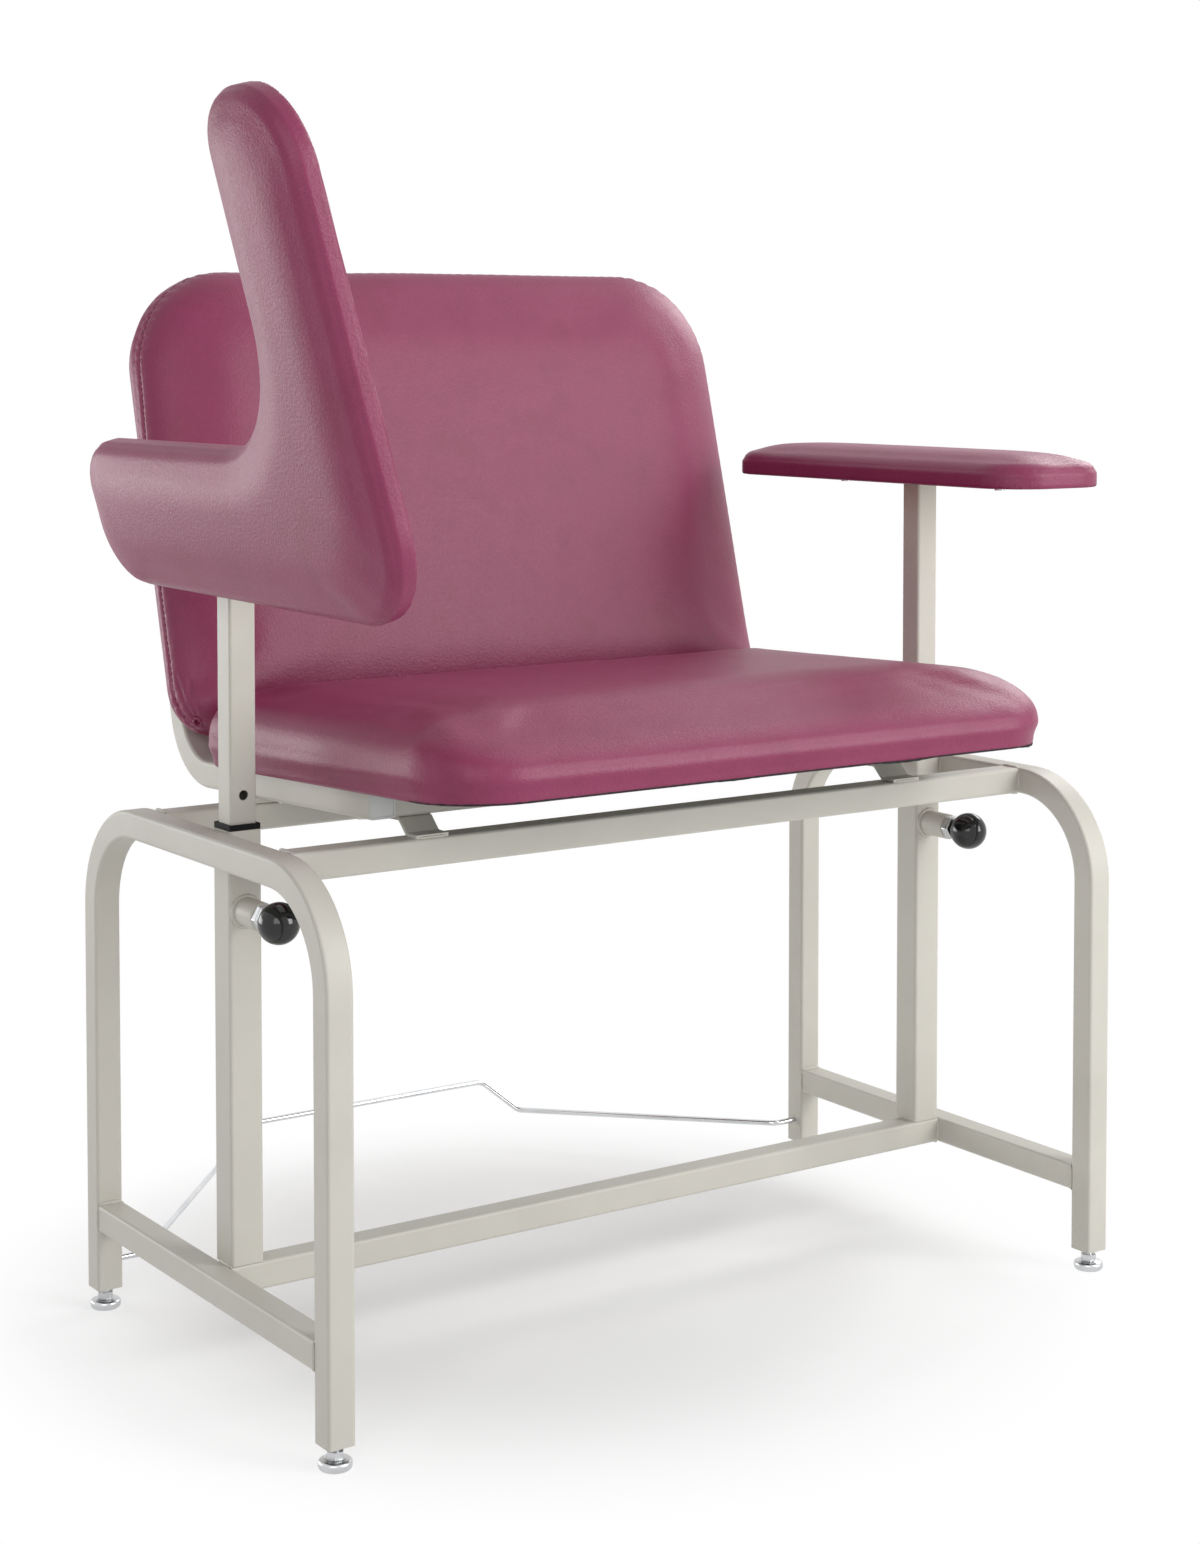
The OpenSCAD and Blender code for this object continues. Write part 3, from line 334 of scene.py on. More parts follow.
def area_light(name, place, target, size, power):
    data = bpy.data.lights.new(name, "AREA")
    data.shape = "RECTANGLE"
    data.size, data.size_y = size
    data.energy = power
    obj = link(bpy.data.objects.new(name, data))
    obj.location = place
    obj.rotation_euler = (Vector(target) - Vector(place)).to_track_quat("-Z", "Y").to_euler()


studio_world()
floor()
for light in LIGHTS:
    area_light(*light)


# ---------------------------------------------------------------- mesh helpers
def around(n):
    """Angles of n points round a circle."""
    return [2 * math.pi * k / n for k in range(n)]


def arc(centre, r, start, turn, steps):
    """Points of an arc, both ends included."""
    return [(centre[0] + r * math.cos(start + turn * i / steps),
             centre[1] + r * math.sin(start + turn * i / steps)) for i in range(steps + 1)]


def rounded_square(half, r, steps=5):
    """Section of a tube with round corners, going round to the left."""
    pts = []
    for k, (cx, cy) in enumerate(((1, 1), (-1, 1), (-1, -1), (1, -1))):
        pts += arc((cx * (half - r), cy * (half - r)), r, k * QUARTER, QUARTER, steps)
    return pts


def bands(rings, n, closed=False):
    """Faces between neighbouring rings of n points; closed joins the last ring to the first."""
    faces = []
    for k in range(rings if closed else rings - 1):
        a, b = k * n, (k + 1) % rings * n
        faces += [(a + i, a + (i + 1) % n, b + (i + 1) % n, b + i) for i in range(n)]
    return faces


def caps(rings, n):
    """The two end faces of a stack of rings of n points."""
    return [tuple(reversed(range(n))), tuple(range((rings - 1) * n, rings * n))]


def joined(parts):
    """One list of verts and one of faces from many."""
    verts, faces = [], []
    for v, f in parts:
        faces += [tuple(i + len(verts) for i in face) for face in f]
        verts += v
    return verts, faces


def stacked(sections, place):
    """Closed solid from a stack of rounded squares: half side, corner radius and height in mm."""
    verts = [place @ (Vector((x, y, z)) * MM)
             for half, r, z in sections for x, y in rounded_square(half, r)]
    n = len(verts) // len(sections)
    return verts, bands(len(sections), n) + caps(len(sections), n)


def turned(profile, place, segments=40):
    """Closed solid turned round Z: radii and heights in mm, the first and last on flat ends."""
    verts = [place @ (Vector((r * math.cos(a), r * math.sin(a), z)) * MM)
             for r, z in profile for a in around(segments)]
    return verts, bands(len(profile), segments) + caps(len(profile), segments)


def sweep(path, side_dir, half, r, wall):
    """Hollow square tube with round corners along a path that bends round side_dir; ends open."""
    path = [Vector(p) for p in path]
    side_dir = Vector(side_dir).normalized()
    ups = []
    for i, p in enumerate(path):
        a = (p - path[i - 1]).normalized() if i else None
        b = (path[i + 1] - p).normalized() if i < len(path) - 1 else None
        t = ((a or b) + (b or a)).normalized()
        ups.append(side_dir.cross(t).normalized() / max(0.5, t.dot(b or a)))
    outer = rounded_square(half, r)
    inner = rounded_square(half - wall, max(r - wall, wall / 2))
    verts = [p + side_dir * x + up * y
             for section in (outer, inner) for p, up in zip(path, ups) for x, y in section]
    n, rings = len(outer), len(path)
    skin = bands(rings, n)
    faces = skin + [tuple(rings * n + i for i in face[::-1]) for face in skin]
    for i in range(n):
        j = (i + 1) % n
        a, b = (rings - 1) * n, (2 * rings - 1) * n
        faces += [(j, i, rings * n + i, rings * n + j), (a + i, a + j, b + j, b + i)]
    return verts, faces


SMOOTH_ANGLE = 35                   # degrees; sharper edges stay sharp


def new_object(name, verts, faces, look, smooth_angle=SMOOTH_ANGLE):
    mesh = bpy.data.meshes.new(name)
    mesh.from_pydata([tuple(v) for v in verts], [], faces)
    mesh.validate()
    mesh.polygons.foreach_set("use_smooth", [True] * len(mesh.polygons))
    mesh.set_sharp_from_angle(angle=math.radians(smooth_angle))
    mesh.materials.append(MATS[look])
    return link(bpy.data.objects.new(name, mesh))


def settle(obj, body, nodes=()):
    """Rides on a body, and stands for CAD nodes."""
    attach(obj, body)
    if nodes:
        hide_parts(*nodes)


def modifier(obj, kind, **values):
    mod = obj.modifiers.new(kind.lower(), kind)
    for key, value in values.items():
        setattr(mod, key, value)
    return mod


def apply_modifiers(obj):
    bpy.context.view_layer.update()
    graph = bpy.context.evaluated_depsgraph_get()
    obj.data = bpy.data.meshes.new_from_object(obj.evaluated_get(graph))
    obj.modifiers.clear()


def even_light(obj):
    """Normals weighted by face size, so that flats look flat beside their round edges."""
    modifier(obj, "WEIGHTED_NORMAL", keep_sharp=True, weight=90)


def middle(node):
    lo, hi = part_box(node)
    return (lo + hi) / 2


# ---------------------------------------------------------------- frame tubes
CORNER_R = 3.2 * MM
WALL = 1.5 * MM


def tube_piece(node, path, side_dir, half=TUBE / 2):
    verts, faces = sweep(path, side_dir, half, CORNER_R, WALL)
    obj = new_object(node + "_round", verts, faces, "frame_paint")
    even_light(obj)
    settle(obj, "frame", [node])


def straight(node, axis, roll=0.0):
    """Straight tube over a node's box, along X, Y or Z; roll turns the section about X."""
    lo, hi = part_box(node)
    along = Vector([1.0 if i == axis else 0.0 for i in range(3)]) * (hi - lo)[axis] / 2
    side = Vector((0, math.cos(roll), math.sin(roll))) if axis == 0 else Vector((1, 0, 0))
    half = (hi - lo).x / 2 if axis == 2 else TUBE / 2
    tube_piece(node, [middle(node) - along, middle(node) + along], side, half)


def side_frame(node):
    """Upturned U, its two upper corners bent round."""
    lo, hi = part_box(node)
    half = TUBE / 2
    front, rear, bend_z = lo.y + half, hi.y - half, hi.z - half - BEND_R
    path = [(front, lo.z),
            *arc((front + BEND_R, bend_z), BEND_R, 2 * QUARTER, -QUARTER, 20),
            *arc((rear - BEND_R, bend_z), BEND_R, QUARTER, -QUARTER, 20),
            (rear, lo.z)]
    tube_piece(node, [(middle(node).x, y, z) for y, z in path], (1, 0, 0))


for name in ("side_frame_right", "side_frame_left"):
    side_frame(name)
for name in ("side_rail_right", "side_rail_left"):
    straight(name, 1)
for name in ("crossbar", "front_rail", "rear_rail"):
    straight(name, 0)
for name in ("seat_cross_front", "seat_cross_rear"):
    straight(name, 0, -SEAT_RISE)
straight("back_cross", 0, QUARTER - RECLINE)
for name in ("sleeve_right", "sleeve_left"):
    straight(name, 2)


# ---------------------------------------------------------------- seat's tubes, spaces of the pads
def seat_space():
    return Matrix.Translation(ORIGIN + Vector((0, 0, SEAT_Z))) @ Matrix.Rotation(-SEAT_RISE, 4, "X")


def back_space():
    """Starts where the uprights leave the bend, with its z axis out of the back's front."""
    bend = seat_space() @ Vector((0, *SEAT_BEND_C))
    turn = Matrix.Rotation(QUARTER - RECLINE, 4, "X")
    return (Matrix.Translation(bend) @ turn
            @ Matrix.Translation((0, 0, SEAT_TUBE / 2 - SEAT_BEND_R)))


def flip_space():
    """The flip arm's pivot, turned up as at rest."""
    turn = Matrix.Rotation(-FLIP_REST, 4, "Y")
    return Matrix.Translation(ORIGIN + Vector((-POST_X, 0, ARM_Z - PIVOT_DROP))) @ turn


def seat_tube_path(side):
    """Centre line of a side tube: along the seat, round the bend and up the back."""
    turn = QUARTER - RECLINE + SEAT_RISE
    bend = arc(SEAT_BEND_C, SEAT_BEND_R, -QUARTER, turn, 24)
    y, z = bend[-1]
    path = [(-SEAT_TUBE_Y, SEAT_BEND_C.y - SEAT_BEND_R), *bend,
            (y + UPRIGHT_L * math.cos(turn), z + UPRIGHT_L * math.sin(turn))]
    return [seat_space() @ Vector((side * SEAT_TUBE_X, y, z)) for y, z in path]


for side, name in ((-1, "seat_tube_right"), (1, "seat_tube_left")):
    tube_piece(name, seat_tube_path(side), (1, 0, 0))


# ---------------------------------------------------------------- posts with their index holes
POST_CORNER_R = 2.8 * MM


def hole_cutter(x, y):
    """Drills for the index holes, through the wall at y."""
    bm = bmesh.new()
    for k in range(INDEX_HOLES):
        z = INDEX_Z + INDEX_PITCH * (k - INDEX_HOLES // 2)
        place = Matrix.Translation((x, y, z)) @ Matrix.Rotation(QUARTER, 4, "X")
        bmesh.ops.create_cone(bm, cap_ends=True, segments=28, radius1=INDEX_R, radius2=INDEX_R,
                              depth=4 * WALL, matrix=place)
    mesh = bpy.data.meshes.new("cutter")
    bm.to_mesh(mesh)
    bm.free()
    return link(bpy.data.objects.new("cutter", mesh))


def post_piece(node, body):
    lo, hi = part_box(node)
    mid, half = middle(node), (hi.x - lo.x) / 2
    ends = [(mid.x, mid.y, z) for z in (lo.z, hi.z)]
    verts, faces = sweep(ends, (1, 0, 0), half, POST_CORNER_R, WALL)
    obj = new_object(node + "_round", verts, faces, "frame_paint")
    cutter = hole_cutter(mid.x, mid.y - half)
    modifier(obj, "BOOLEAN", object=cutter, operation="DIFFERENCE", solver="EXACT")
    apply_modifiers(obj)
    bpy.data.objects.remove(cutter)
    mesh = obj.data
    mesh.set_sharp_from_angle(angle=math.radians(SMOOTH_ANGLE))
    mesh.materials.clear()
    mesh.materials.append(MATS["frame_paint"])
    mesh.polygons.foreach_set("material_index", [0] * len(mesh.polygons))
    even_light(obj)
    settle(obj, body, [node])


post_piece("post_right", "arm_post_right")
post_piece("post_left", "arm_post_left")


# ---------------------------------------------------------------- plugs in the tube ends
PLUG = ((12.4, 2.6, 0.05), (12.6, 2.9, 0.5), (12.6, 2.9, 1.7), (12.2, 2.6, 2.3), (11.6, 2.2, 2.5),
        (10.5, 1.7, 2.45), (10.1, 1.5, 1.9))


def plugs():
    parts = []
    for side in (-1, 1):
        path = seat_tube_path(side)
        for end, inner in ((path[0], path[1]), (path[-1], path[-2])):
            x, out = Vector((1, 0, 0)), (end - inner).normalized()
            turn = Matrix((x, out.cross(x), out)).transposed().to_4x4()
            parts.append(stacked(PLUG, Matrix.Translation(end) @ turn))
    obj = new_object("tube_plugs_moulded", *joined(parts), "grey_plastic")
    settle(obj, "frame", ["tube_plugs"])


plugs()


# ---------------------------------------------------------------- weld beads
BEAD_SIDES = 8
BEAD_PITCH = 2.2 * MM
STRAP_W = 32 * MM
BOSS_RING_R = 13.2 * MM


def rippled_tube(points, radius, seed, closed=False, rise=0.28):
    """Verts and faces of a bead that follows points; rise is the share by which it ripples."""
    rng = np.random.default_rng(seed)
    pts = [Vector(q) for q in points]
    n, verts = len(pts), []
    for i, q in enumerate(pts):
        before = pts[(i - 1) % n] if closed or i else q
        after = pts[(i + 1) % n] if closed or i < n - 1 else q
        t = (after - before).normalized()
        u = t.orthogonal().normalized() if i == 0 else (u - t * u.dot(t)).normalized()
        v = t.cross(u)
        taper = 1.0 if closed else min(1.0, 0.35 + 0.65 * min(i, n - 1 - i) / 2)
        ripple = 0.6 * math.sin(i * 2.4) + rng.random() - 0.5
        r = radius * taper * (1 + rise * ripple)
        verts += [q + (u * math.cos(a) + v * math.sin(a)) * r for a in around(BEAD_SIDES)]
    ends = [] if closed else caps(n, BEAD_SIDES)
    return verts, bands(n, BEAD_SIDES, closed) + ends


def frame_beads():
    """Ends and radius of each straight bead."""
    # crossbar and rails: along the four sides of each end, on the face that it meets
    for name in ("crossbar", "front_rail", "rear_rail"):
        lo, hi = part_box(name)
        for x in (lo.x, hi.x):
            for z in (hi.z, lo.z):
                yield (x, lo.y + 1.5 * MM, z), (x, hi.y - 1.5 * MM, z), 1.9 * MM
            for y in (lo.y, hi.y):
                yield (x, y, lo.z + 2 * MM), (x, y, hi.z - 2 * MM), 1.9 * MM
    # side rails: the same at each leg
    for name in ("side_rail_right", "side_rail_left"):
        lo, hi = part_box(name)
        for y in (lo.y, hi.y):
            for z in (hi.z, lo.z):
                yield (lo.x + 1.2 * MM, y, z), (hi.x - 1.2 * MM, y, z), 2.2 * MM
            for x in (lo.x, hi.x):
                yield (x, y, lo.z + 1 * MM), (x, y, hi.z - 1 * MM), 1.8 * MM
    # sleeves: down the side frame's top tube, and down the side rail
    for name, outer in (("sleeve_right", 0), ("sleeve_left", 1)):
        lo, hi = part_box(name)
        x = (lo, hi)[outer].x
        for y in (lo.y, hi.y):
            yield (x, y, hi.z - 3 * MM), (x, y, hi.z - TUBE + 2 * MM), 1.7 * MM
            yield (x, y, lo.z - TUBE + 3 * MM), (x, y, lo.z - 1.5 * MM), 1.7 * MM
    # straps: along each one's foot on the front rail
    lo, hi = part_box("front_straps")
    y, z = lo.y + 0.4 * MM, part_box("front_rail")[1].z + 0.6 * MM
    for x in (lo.x, hi.x - STRAP_W):
        yield (x + 1 * MM, y, z), (x + STRAP_W - 1 * MM, y, z), 1.1 * MM


def line_points(a, b):
    a, b = Vector(a), Vector(b)
    n = max(4, round((b - a).length / BEAD_PITCH))
    return [a.lerp(b, i / n) for i in range(n + 1)]


def welds():
    verts, faces = joined([rippled_tube(line_points(a, b), r, 100 + k)
                           for k, (a, b, r) in enumerate(frame_beads())])
    for name in ("sleeve_right", "sleeve_left"):
        root = Vector((middle(name).x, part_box(name)[0].y - 0.3 * MM, middle("plunger_bosses").z))
        ring = [root + Vector((math.cos(t), 0, math.sin(t))) * BOSS_RING_R for t in around(40)]
        bead = rippled_tube(ring, 2.2 * MM, 200 + len(verts), closed=True, rise=0.12)
        verts, faces = joined([(verts, faces), bead])
    settle(new_object("weld_beads", verts, faces, "frame_paint", 60), "frame")


welds()


# ---------------------------------------------------------------- plungers and feet
BOSS = ((12.7, -0.3), (12.7, 31.2), (12.3, 32.4), (11.4, 33), (8, 33))
NUT = ((8, 32.8), (11.6, 32.9), (12.9, 34.2), (12.9, 40.4), (11.4, 42), (7, 42.3))
FOOT = ((11.6, 0), (12.9, 0.3), (13.7, 1.2), (14.1, 2.2), (14.2, 5.4), (13.9, 6.6), (13.1, 7.4),
        (11.8, 7.9), (9.6, 8.3), (8.6, 8.6), (7.9, 9.0), (5, 9.0))


def plunger_parts():
    """Round bosses welded to the sleeves, and the hexes of the plungers screwed into them."""
    roots = []
    for name in ("sleeve_right", "sleeve_left"):
        place = (middle(name).x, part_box(name)[0].y, middle("plunger_bosses").z)
        roots.append(Matrix.Translation(place) @ Matrix.Rotation(QUARTER, 4, "X"))
    bosses = joined([turned(BOSS, root) for root in roots])
    settle(new_object("plunger_bosses_round", *bosses, "frame_paint"), "frame",
           ["plunger_bosses"])
    nuts = joined([turned(NUT, root, 6) for root in roots])
    obj = new_object("plunger_nuts", *nuts, "zinc", 25)
    modifier(obj, "BEVEL", width=0.5 * MM, segments=2, limit_method="ANGLE")
    settle(obj, "frame", ["plunger_bodies"])


def feet():
    for where in ("front_right", "front_left", "rear_right", "rear_left"):
        node = "foot_pad_" + where
        place = Matrix.Translation((*middle(node).xy, 0))
        obj = new_object(node + "_turned", *turned(FOOT, place), "zinc", 50)
        settle(obj, "foot_" + where, [node])


plunger_parts()
feet()


# ---------------------------------------------------------------- cushions
def unit(v):
    return v / np.linalg.norm(v)


def ease(t):
    """Smooth step from 0 to 1."""
    t = np.clip(t, 0, 1)
    return t * t * (3 - 2 * t)


def outline(corners, radii, inset=0.0, steps=10):
    """Outline with rounded corners, drawn in by a distance; negative radii are inside corners."""
    p = [np.array(c, float) for c in corners]
    n = len(p)
    drawn_in = []
    for i in range(n):
        a, b = unit(p[i] - p[i - 1]), unit(p[(i + 1) % n] - p[i])
        n1, n2 = np.array((-a[1], a[0])), np.array((-b[1], b[0]))
        drawn_in.append(p[i] + inset * (n1 + n2) / (1 + n1 @ n2))
    points = []
    for i, q in enumerate(drawn_in):
        a, b = unit(drawn_in[i - 1] - q), unit(drawn_in[(i + 1) % n] - q)
        half = math.acos(np.clip(a @ b, -1, 1)) / 2
        r = -radii[i] + inset if radii[i] < 0 else max(radii[i] - inset, radii[i] / 8)
        c = q + unit(a + b) * r / math.sin(half)
        x, y = q + a * r / math.tan(half) - c
        turn = (-1 if radii[i] < 0 else 1) * (math.pi - 2 * half)
        for t in (turn * k / steps for k in range(steps + 1)):
            points.append(c + np.array((x * math.cos(t) - y * math.sin(t),
                                        x * math.sin(t) + y * math.cos(t))))
    return np.array(points)


def dense(loop, pitch):
    """Points at an even pitch along a closed loop."""
    closed = np.vstack((loop, loop[:1]))
    at = np.concatenate(([0], np.cumsum(np.linalg.norm(np.diff(closed, axis=0), axis=1))))
    t = np.linspace(0, at[-1], max(8, round(at[-1] / pitch)), endpoint=False)
    return np.column_stack([np.interp(t, at, closed[:, k]) for k in (0, 1)])


def outward(loop):
    """Outward normal at each point of a closed loop."""
    x, y = (np.roll(loop, -1, 0) - np.roll(loop, 1, 0)).T
    return np.column_stack((y, -x)) / np.hypot(x, y)[:, None]


RIM_PITCH = 1.5 * MM
SKIN_LOW = 6 * MM                   # the skin bulges and waves only above this height
UNDER = 0.7 * MM                    # thickness of the vinyl folded under the board
CLOTH_FRAMES = 20


@dataclass(kw_only=True)
class Cushion:
    """Padded piece in its own space: x and y over the board, z up from the board's underside."""

    name: str
    node: str
    body: str
    space: Matrix
    corners: list           # of the outline, going round to the left
    radii: tuple            # one for each corner
    heart: tuple            # where the rings of the first form close
    height: float           # at the rim
    crown: float            # rise of the middle over the rim
    run: float              # how far in from the edge it has risen
    edge_r: float           # roundness of the upper edge
    low_r: float            # and of the lower one
    voxel: float
    cap: float              # how far the cloth may move a point
    calm: int               # rounds that smooth its move
    fill: float
    hem: float              # width of the fold under the board
    square: float           # size of the edge that the vinyl is drawn square round
    crisp: float            # how square
    loose: float            # height over the board at which the vinyl comes away from it
    tuck: float             # how much further in the skin is drawn at the board than above
    bulge: float = 0.0      # of the sides
    fall: tuple = None      # where, over what length and how far an end falls away
    swell: float = 0.0      # first form drawn in by this
    waves: float = 0.8 * MM

    def __post_init__(self):
        self.base()

    def scale_z(self, xy, z):
        if self.fall is None:
            return z
        start, length, drop = self.fall
        w = np.clip(1 - (xy[:, 1] - start) / length, 0, 1) ** 2
        lower = BOARD_T + (z - BOARD_T) * (1 - drop * w / (self.height - BOARD_T))
        return np.where(z > BOARD_T, lower, z)

    def base(self):
        """First form, built of rings, voxel remeshed and smoothed a little."""
        h, r, low = self.height, self.edge_r, self.low_r
        # of each ring: inset, height, and how much the extra edge radius adds to them
        rings = [(low * (1 - math.sin(a)), low * (1 - math.cos(a)), 0, 0)
                 for a in np.radians((0, 30, 60, 90))]
        rings.append((0, (low + h - r) / 2, 0, 0))
        for a in np.radians((0, 15, 30, 45, 60, 75, 90)):
            draw, drop = 1 - math.cos(a), 1 - math.sin(a)
            rings.append((r * draw, h - r * drop, draw, drop))
        for k in (0.12, 0.25, 0.4, 0.55, 0.7, 0.85, 1):
            rings.append((r + self.run * k, h + self.crown * (1 - (1 - k) ** 2), 1 - k, 0))
        out = outward(outline(self.corners, self.radii))
        more = self.rounder(out)
        verts = []
        for inset, z, draw, drop in rings:
            loop = outline(self.corners, self.radii, inset + self.swell)
            loop = loop - out * (more * draw)[:, None]
            level = self.scale_z(loop, z - more * drop)
            verts += np.column_stack((loop, level)).tolist()
        n = len(out)
        last, under, over = (len(rings) - 1) * n, len(verts), len(verts) + 1
        verts += [(*self.heart, 0), (*self.heart, h + self.crown)]
        faces = [(under, (i + 1) % n, i) for i in range(n)]
        faces += [(last + i, last + (i + 1) % n, over) for i in range(n)]
        self.obj = new_object(self.name, verts, faces + bands(len(rings), n), "vinyl")
        modifier(self.obj, "REMESH", mode="VOXEL", voxel_size=self.voxel)
        apply_modifiers(self.obj)
        modifier(self.obj, "SMOOTH", factor=0.5, iterations=2)
        apply_modifiers(self.obj)
        self.rest = self.coords()

    def coords(self):
        mesh = self.obj.data
        co = np.empty(len(mesh.vertices) * 3, np.float32)
        mesh.vertices.foreach_get("co", co)
        return co.reshape(-1, 3).astype(float)

    def put(self, co):
        self.obj.data.vertices.foreach_set("co", co.astype(np.float32).ravel())
        self.obj.data.update()

    def add_cloth(self):
        """Cloth under pressure, pinned round the board and freed little by little above it."""
        held = 0.8 * BOARD_T
        group = self.obj.vertex_groups.new(name="pin")
        for i, z in enumerate(self.rest[:, 2]):
            w = 1 - (z - held) / held
            if w > 0:
                group.add([i], min(1.0, w), "REPLACE")
        mod = modifier(self.obj, "CLOTH")
        c = mod.settings
        c.quality, c.mass = 5, 0.3
        c.use_pressure, c.uniform_pressure_force = True, 4.0
        c.tension_stiffness = c.compression_stiffness = 15
        c.shear_stiffness, c.bending_stiffness = 5, 0.5
        c.effector_weights.gravity = 0
        c.vertex_group_mass = "pin"
        mod.collision_settings.use_collision = False
        mod.collision_settings.use_self_collision = False

    def harvest(self):
        """Takes the swollen shape, no point further than the cap from where it was."""
        apply_modifiers(self.obj)
        self.obj.vertex_groups.clear()
        move = self.relax(self.coords() - self.rest, 0.5, self.calm)
        far = np.linalg.norm(move, axis=1, keepdims=True)
        self.put(self.rest + move * (self.cap * np.tanh(far / self.cap) / np.maximum(far, 1e-9)))

    def relax(self, field, share, rounds):
        """Draws each point's value toward the mean of its neighbours'."""
        e = np.empty(2 * len(self.obj.data.edges), np.int32)
        self.obj.data.edges.foreach_get("vertices", e)
        a, b = e.reshape(-1, 2).T
        count = np.bincount(e, minlength=len(field))[:, None]
        for _ in range(rounds):
            near = np.zeros_like(field)
            np.add.at(near, a, field[b])
            np.add.at(near, b, field[a])
            field = field + (near / count - field) * share
        return field

    def rim(self, xy):
        """For each point: depth inside the outline, the nearest side's normal, place along it."""
        edge = dense(outline(self.corners, self.radii, steps=24), RIM_PITCH)
        out = outward(edge)
        tree = KDTree(len(edge))
        for i, (x, y) in enumerate(edge):
            tree.insert((x, y, 0), i)
        tree.balance()
        near = np.array([tree.find((x, y, 0))[1] for x, y in xy], int)
        return -np.einsum("ij,ij->i", xy - edge[near], out[near]), out[near], near * RIM_PITCH

    def wrap(self, co):
        """Draws the vinyl tightly round the board's edge and folds it under."""
        low = np.flatnonzero(co[:, 2] < BOARD_T + self.loose)
        depth, out, _ = self.rim(co[low, :2])
        z, square, p = co[low, 2], self.square, self.crisp
        depth -= self.tuck * (1 - ease(z / (0.5 * self.height)))
        wall = (depth < square) & (z >= square)
        corner = (depth < square) & (z < square)
        under = (depth >= square) & (z < square)
        hold = ease((BOARD_T + self.loose - z) / self.loose)
        move = np.where(wall, depth * hold, 0.0)
        a, b = square - depth, square - z
        grow = square / np.maximum((np.abs(a) ** p + np.abs(b) ** p) ** (1 / p), 1e-6)
        move = np.where(corner, a * grow - a, move)
        lift = np.clip((depth - self.hem) / (3 * MM), 0, 1)
        level = np.where(corner, square - b * grow, z)
        level = np.where(under, lift * 5 * MM, level)
        fold = UNDER * np.clip(1 - z / square, 0, 1) * (1 - lift)
        co[low, 2] = level - np.where(under | corner, fold, 0)
        co[low, :2] += out * move[:, None]

    def fill_sides(self, co):
        """Bulges the sides as the foam inside does."""
        side = np.flatnonzero(co[:, 2] > SKIN_LOW)
        depth, out, _ = self.rim(co[side, :2])
        z = co[side, 2]
        amount = ease((z - SKIN_LOW) / (26 * MM))
        amount *= ease((self.height + 12 * MM - z) / (0.66 * self.height))
        amount *= ease(1 - (depth - 8 * MM) / (60 * MM)) * self.fuller(co[side], out)
        co[side, :2] += out * (self.bulge * amount)[:, None]

    def wave(self, co):
        """Slight unevenness of the vinyl over the foam."""
        for i in np.flatnonzero(co[:, 2] > SKIN_LOW):
            x, y, z = co[i]
            wave = (0.9 * noise.noise((x * 9, y * 9, z * 9))
                    + 0.35 * noise.noise((x * 26, y * 26, z * 26)))
            co[i, 2] += wave * self.waves * min(1.0, (z - SKIN_LOW) / (20 * MM))

    def finish(self):
        """Finer mesh, the skin's shape, and the piece in its place."""
        modifier(self.obj, "SUBSURF", levels=1, render_levels=1)
        apply_modifiers(self.obj)
        co = self.coords()
        self.wrap(co)
        if self.bulge:
            self.fill_sides(co)
        self.wave(co)
        self.put(self.taut(co))
        self.extra()
        mesh = self.obj.data
        mesh.polygons.foreach_set("use_smooth", [True] * len(mesh.polygons))
        mesh.materials.clear()
        mesh.materials.append(MATS["vinyl"])
        mesh.transform(self.space)
        settle(self.obj, self.body, [self.node])

    def place(self, name, verts, faces, look, slot, smooth_angle):
        """New piece beside the cushion, built in its space."""
        obj = new_object(name, verts, faces, look, smooth_angle)
        obj.data.transform(self.space)
        settle(obj, self.body)

    def rounder(self, out):
        """Extra edge radius, by the side's outward normal."""
        return np.zeros(len(out))

    def fuller(self, co, out):
        """Share of the bulge, by place and outward normal."""
        return np.ones(len(out))

    def taut(self, co):
        """Last smoothing of the skin."""
        return co

    def extra(self):
        """Seams and pieces beside the cushion."""


class SeatCushion(Cushion):
    def rounder(self, out):
        return np.full(len(out), 6 * MM)

    def extra(self):
        """Edge of the dust cloth, folded under and sagging a little below the front edge."""
        loop = dense(outline(self.corners, self.radii, 6.5 * MM, 16), 5 * MM)
        front = [q for q in loop if q[1] < -190 * MM]
        front.sort(key=lambda q: math.atan2(q[1] + 100 * MM, q[0]))
        points = []
        for x, y in front:
            sag = 6 * MM * max(0, noise.noise((x * 11, y * 11, 5)) - 0.08)
            points.append((x, y, 1.3 * MM - sag))
        verts, faces = rippled_tube(points, 1.2 * MM, 5, rise=0.2)
        self.place("dust_cloth_fold", verts, faces, "black_cloth", "black_cloth", 80)


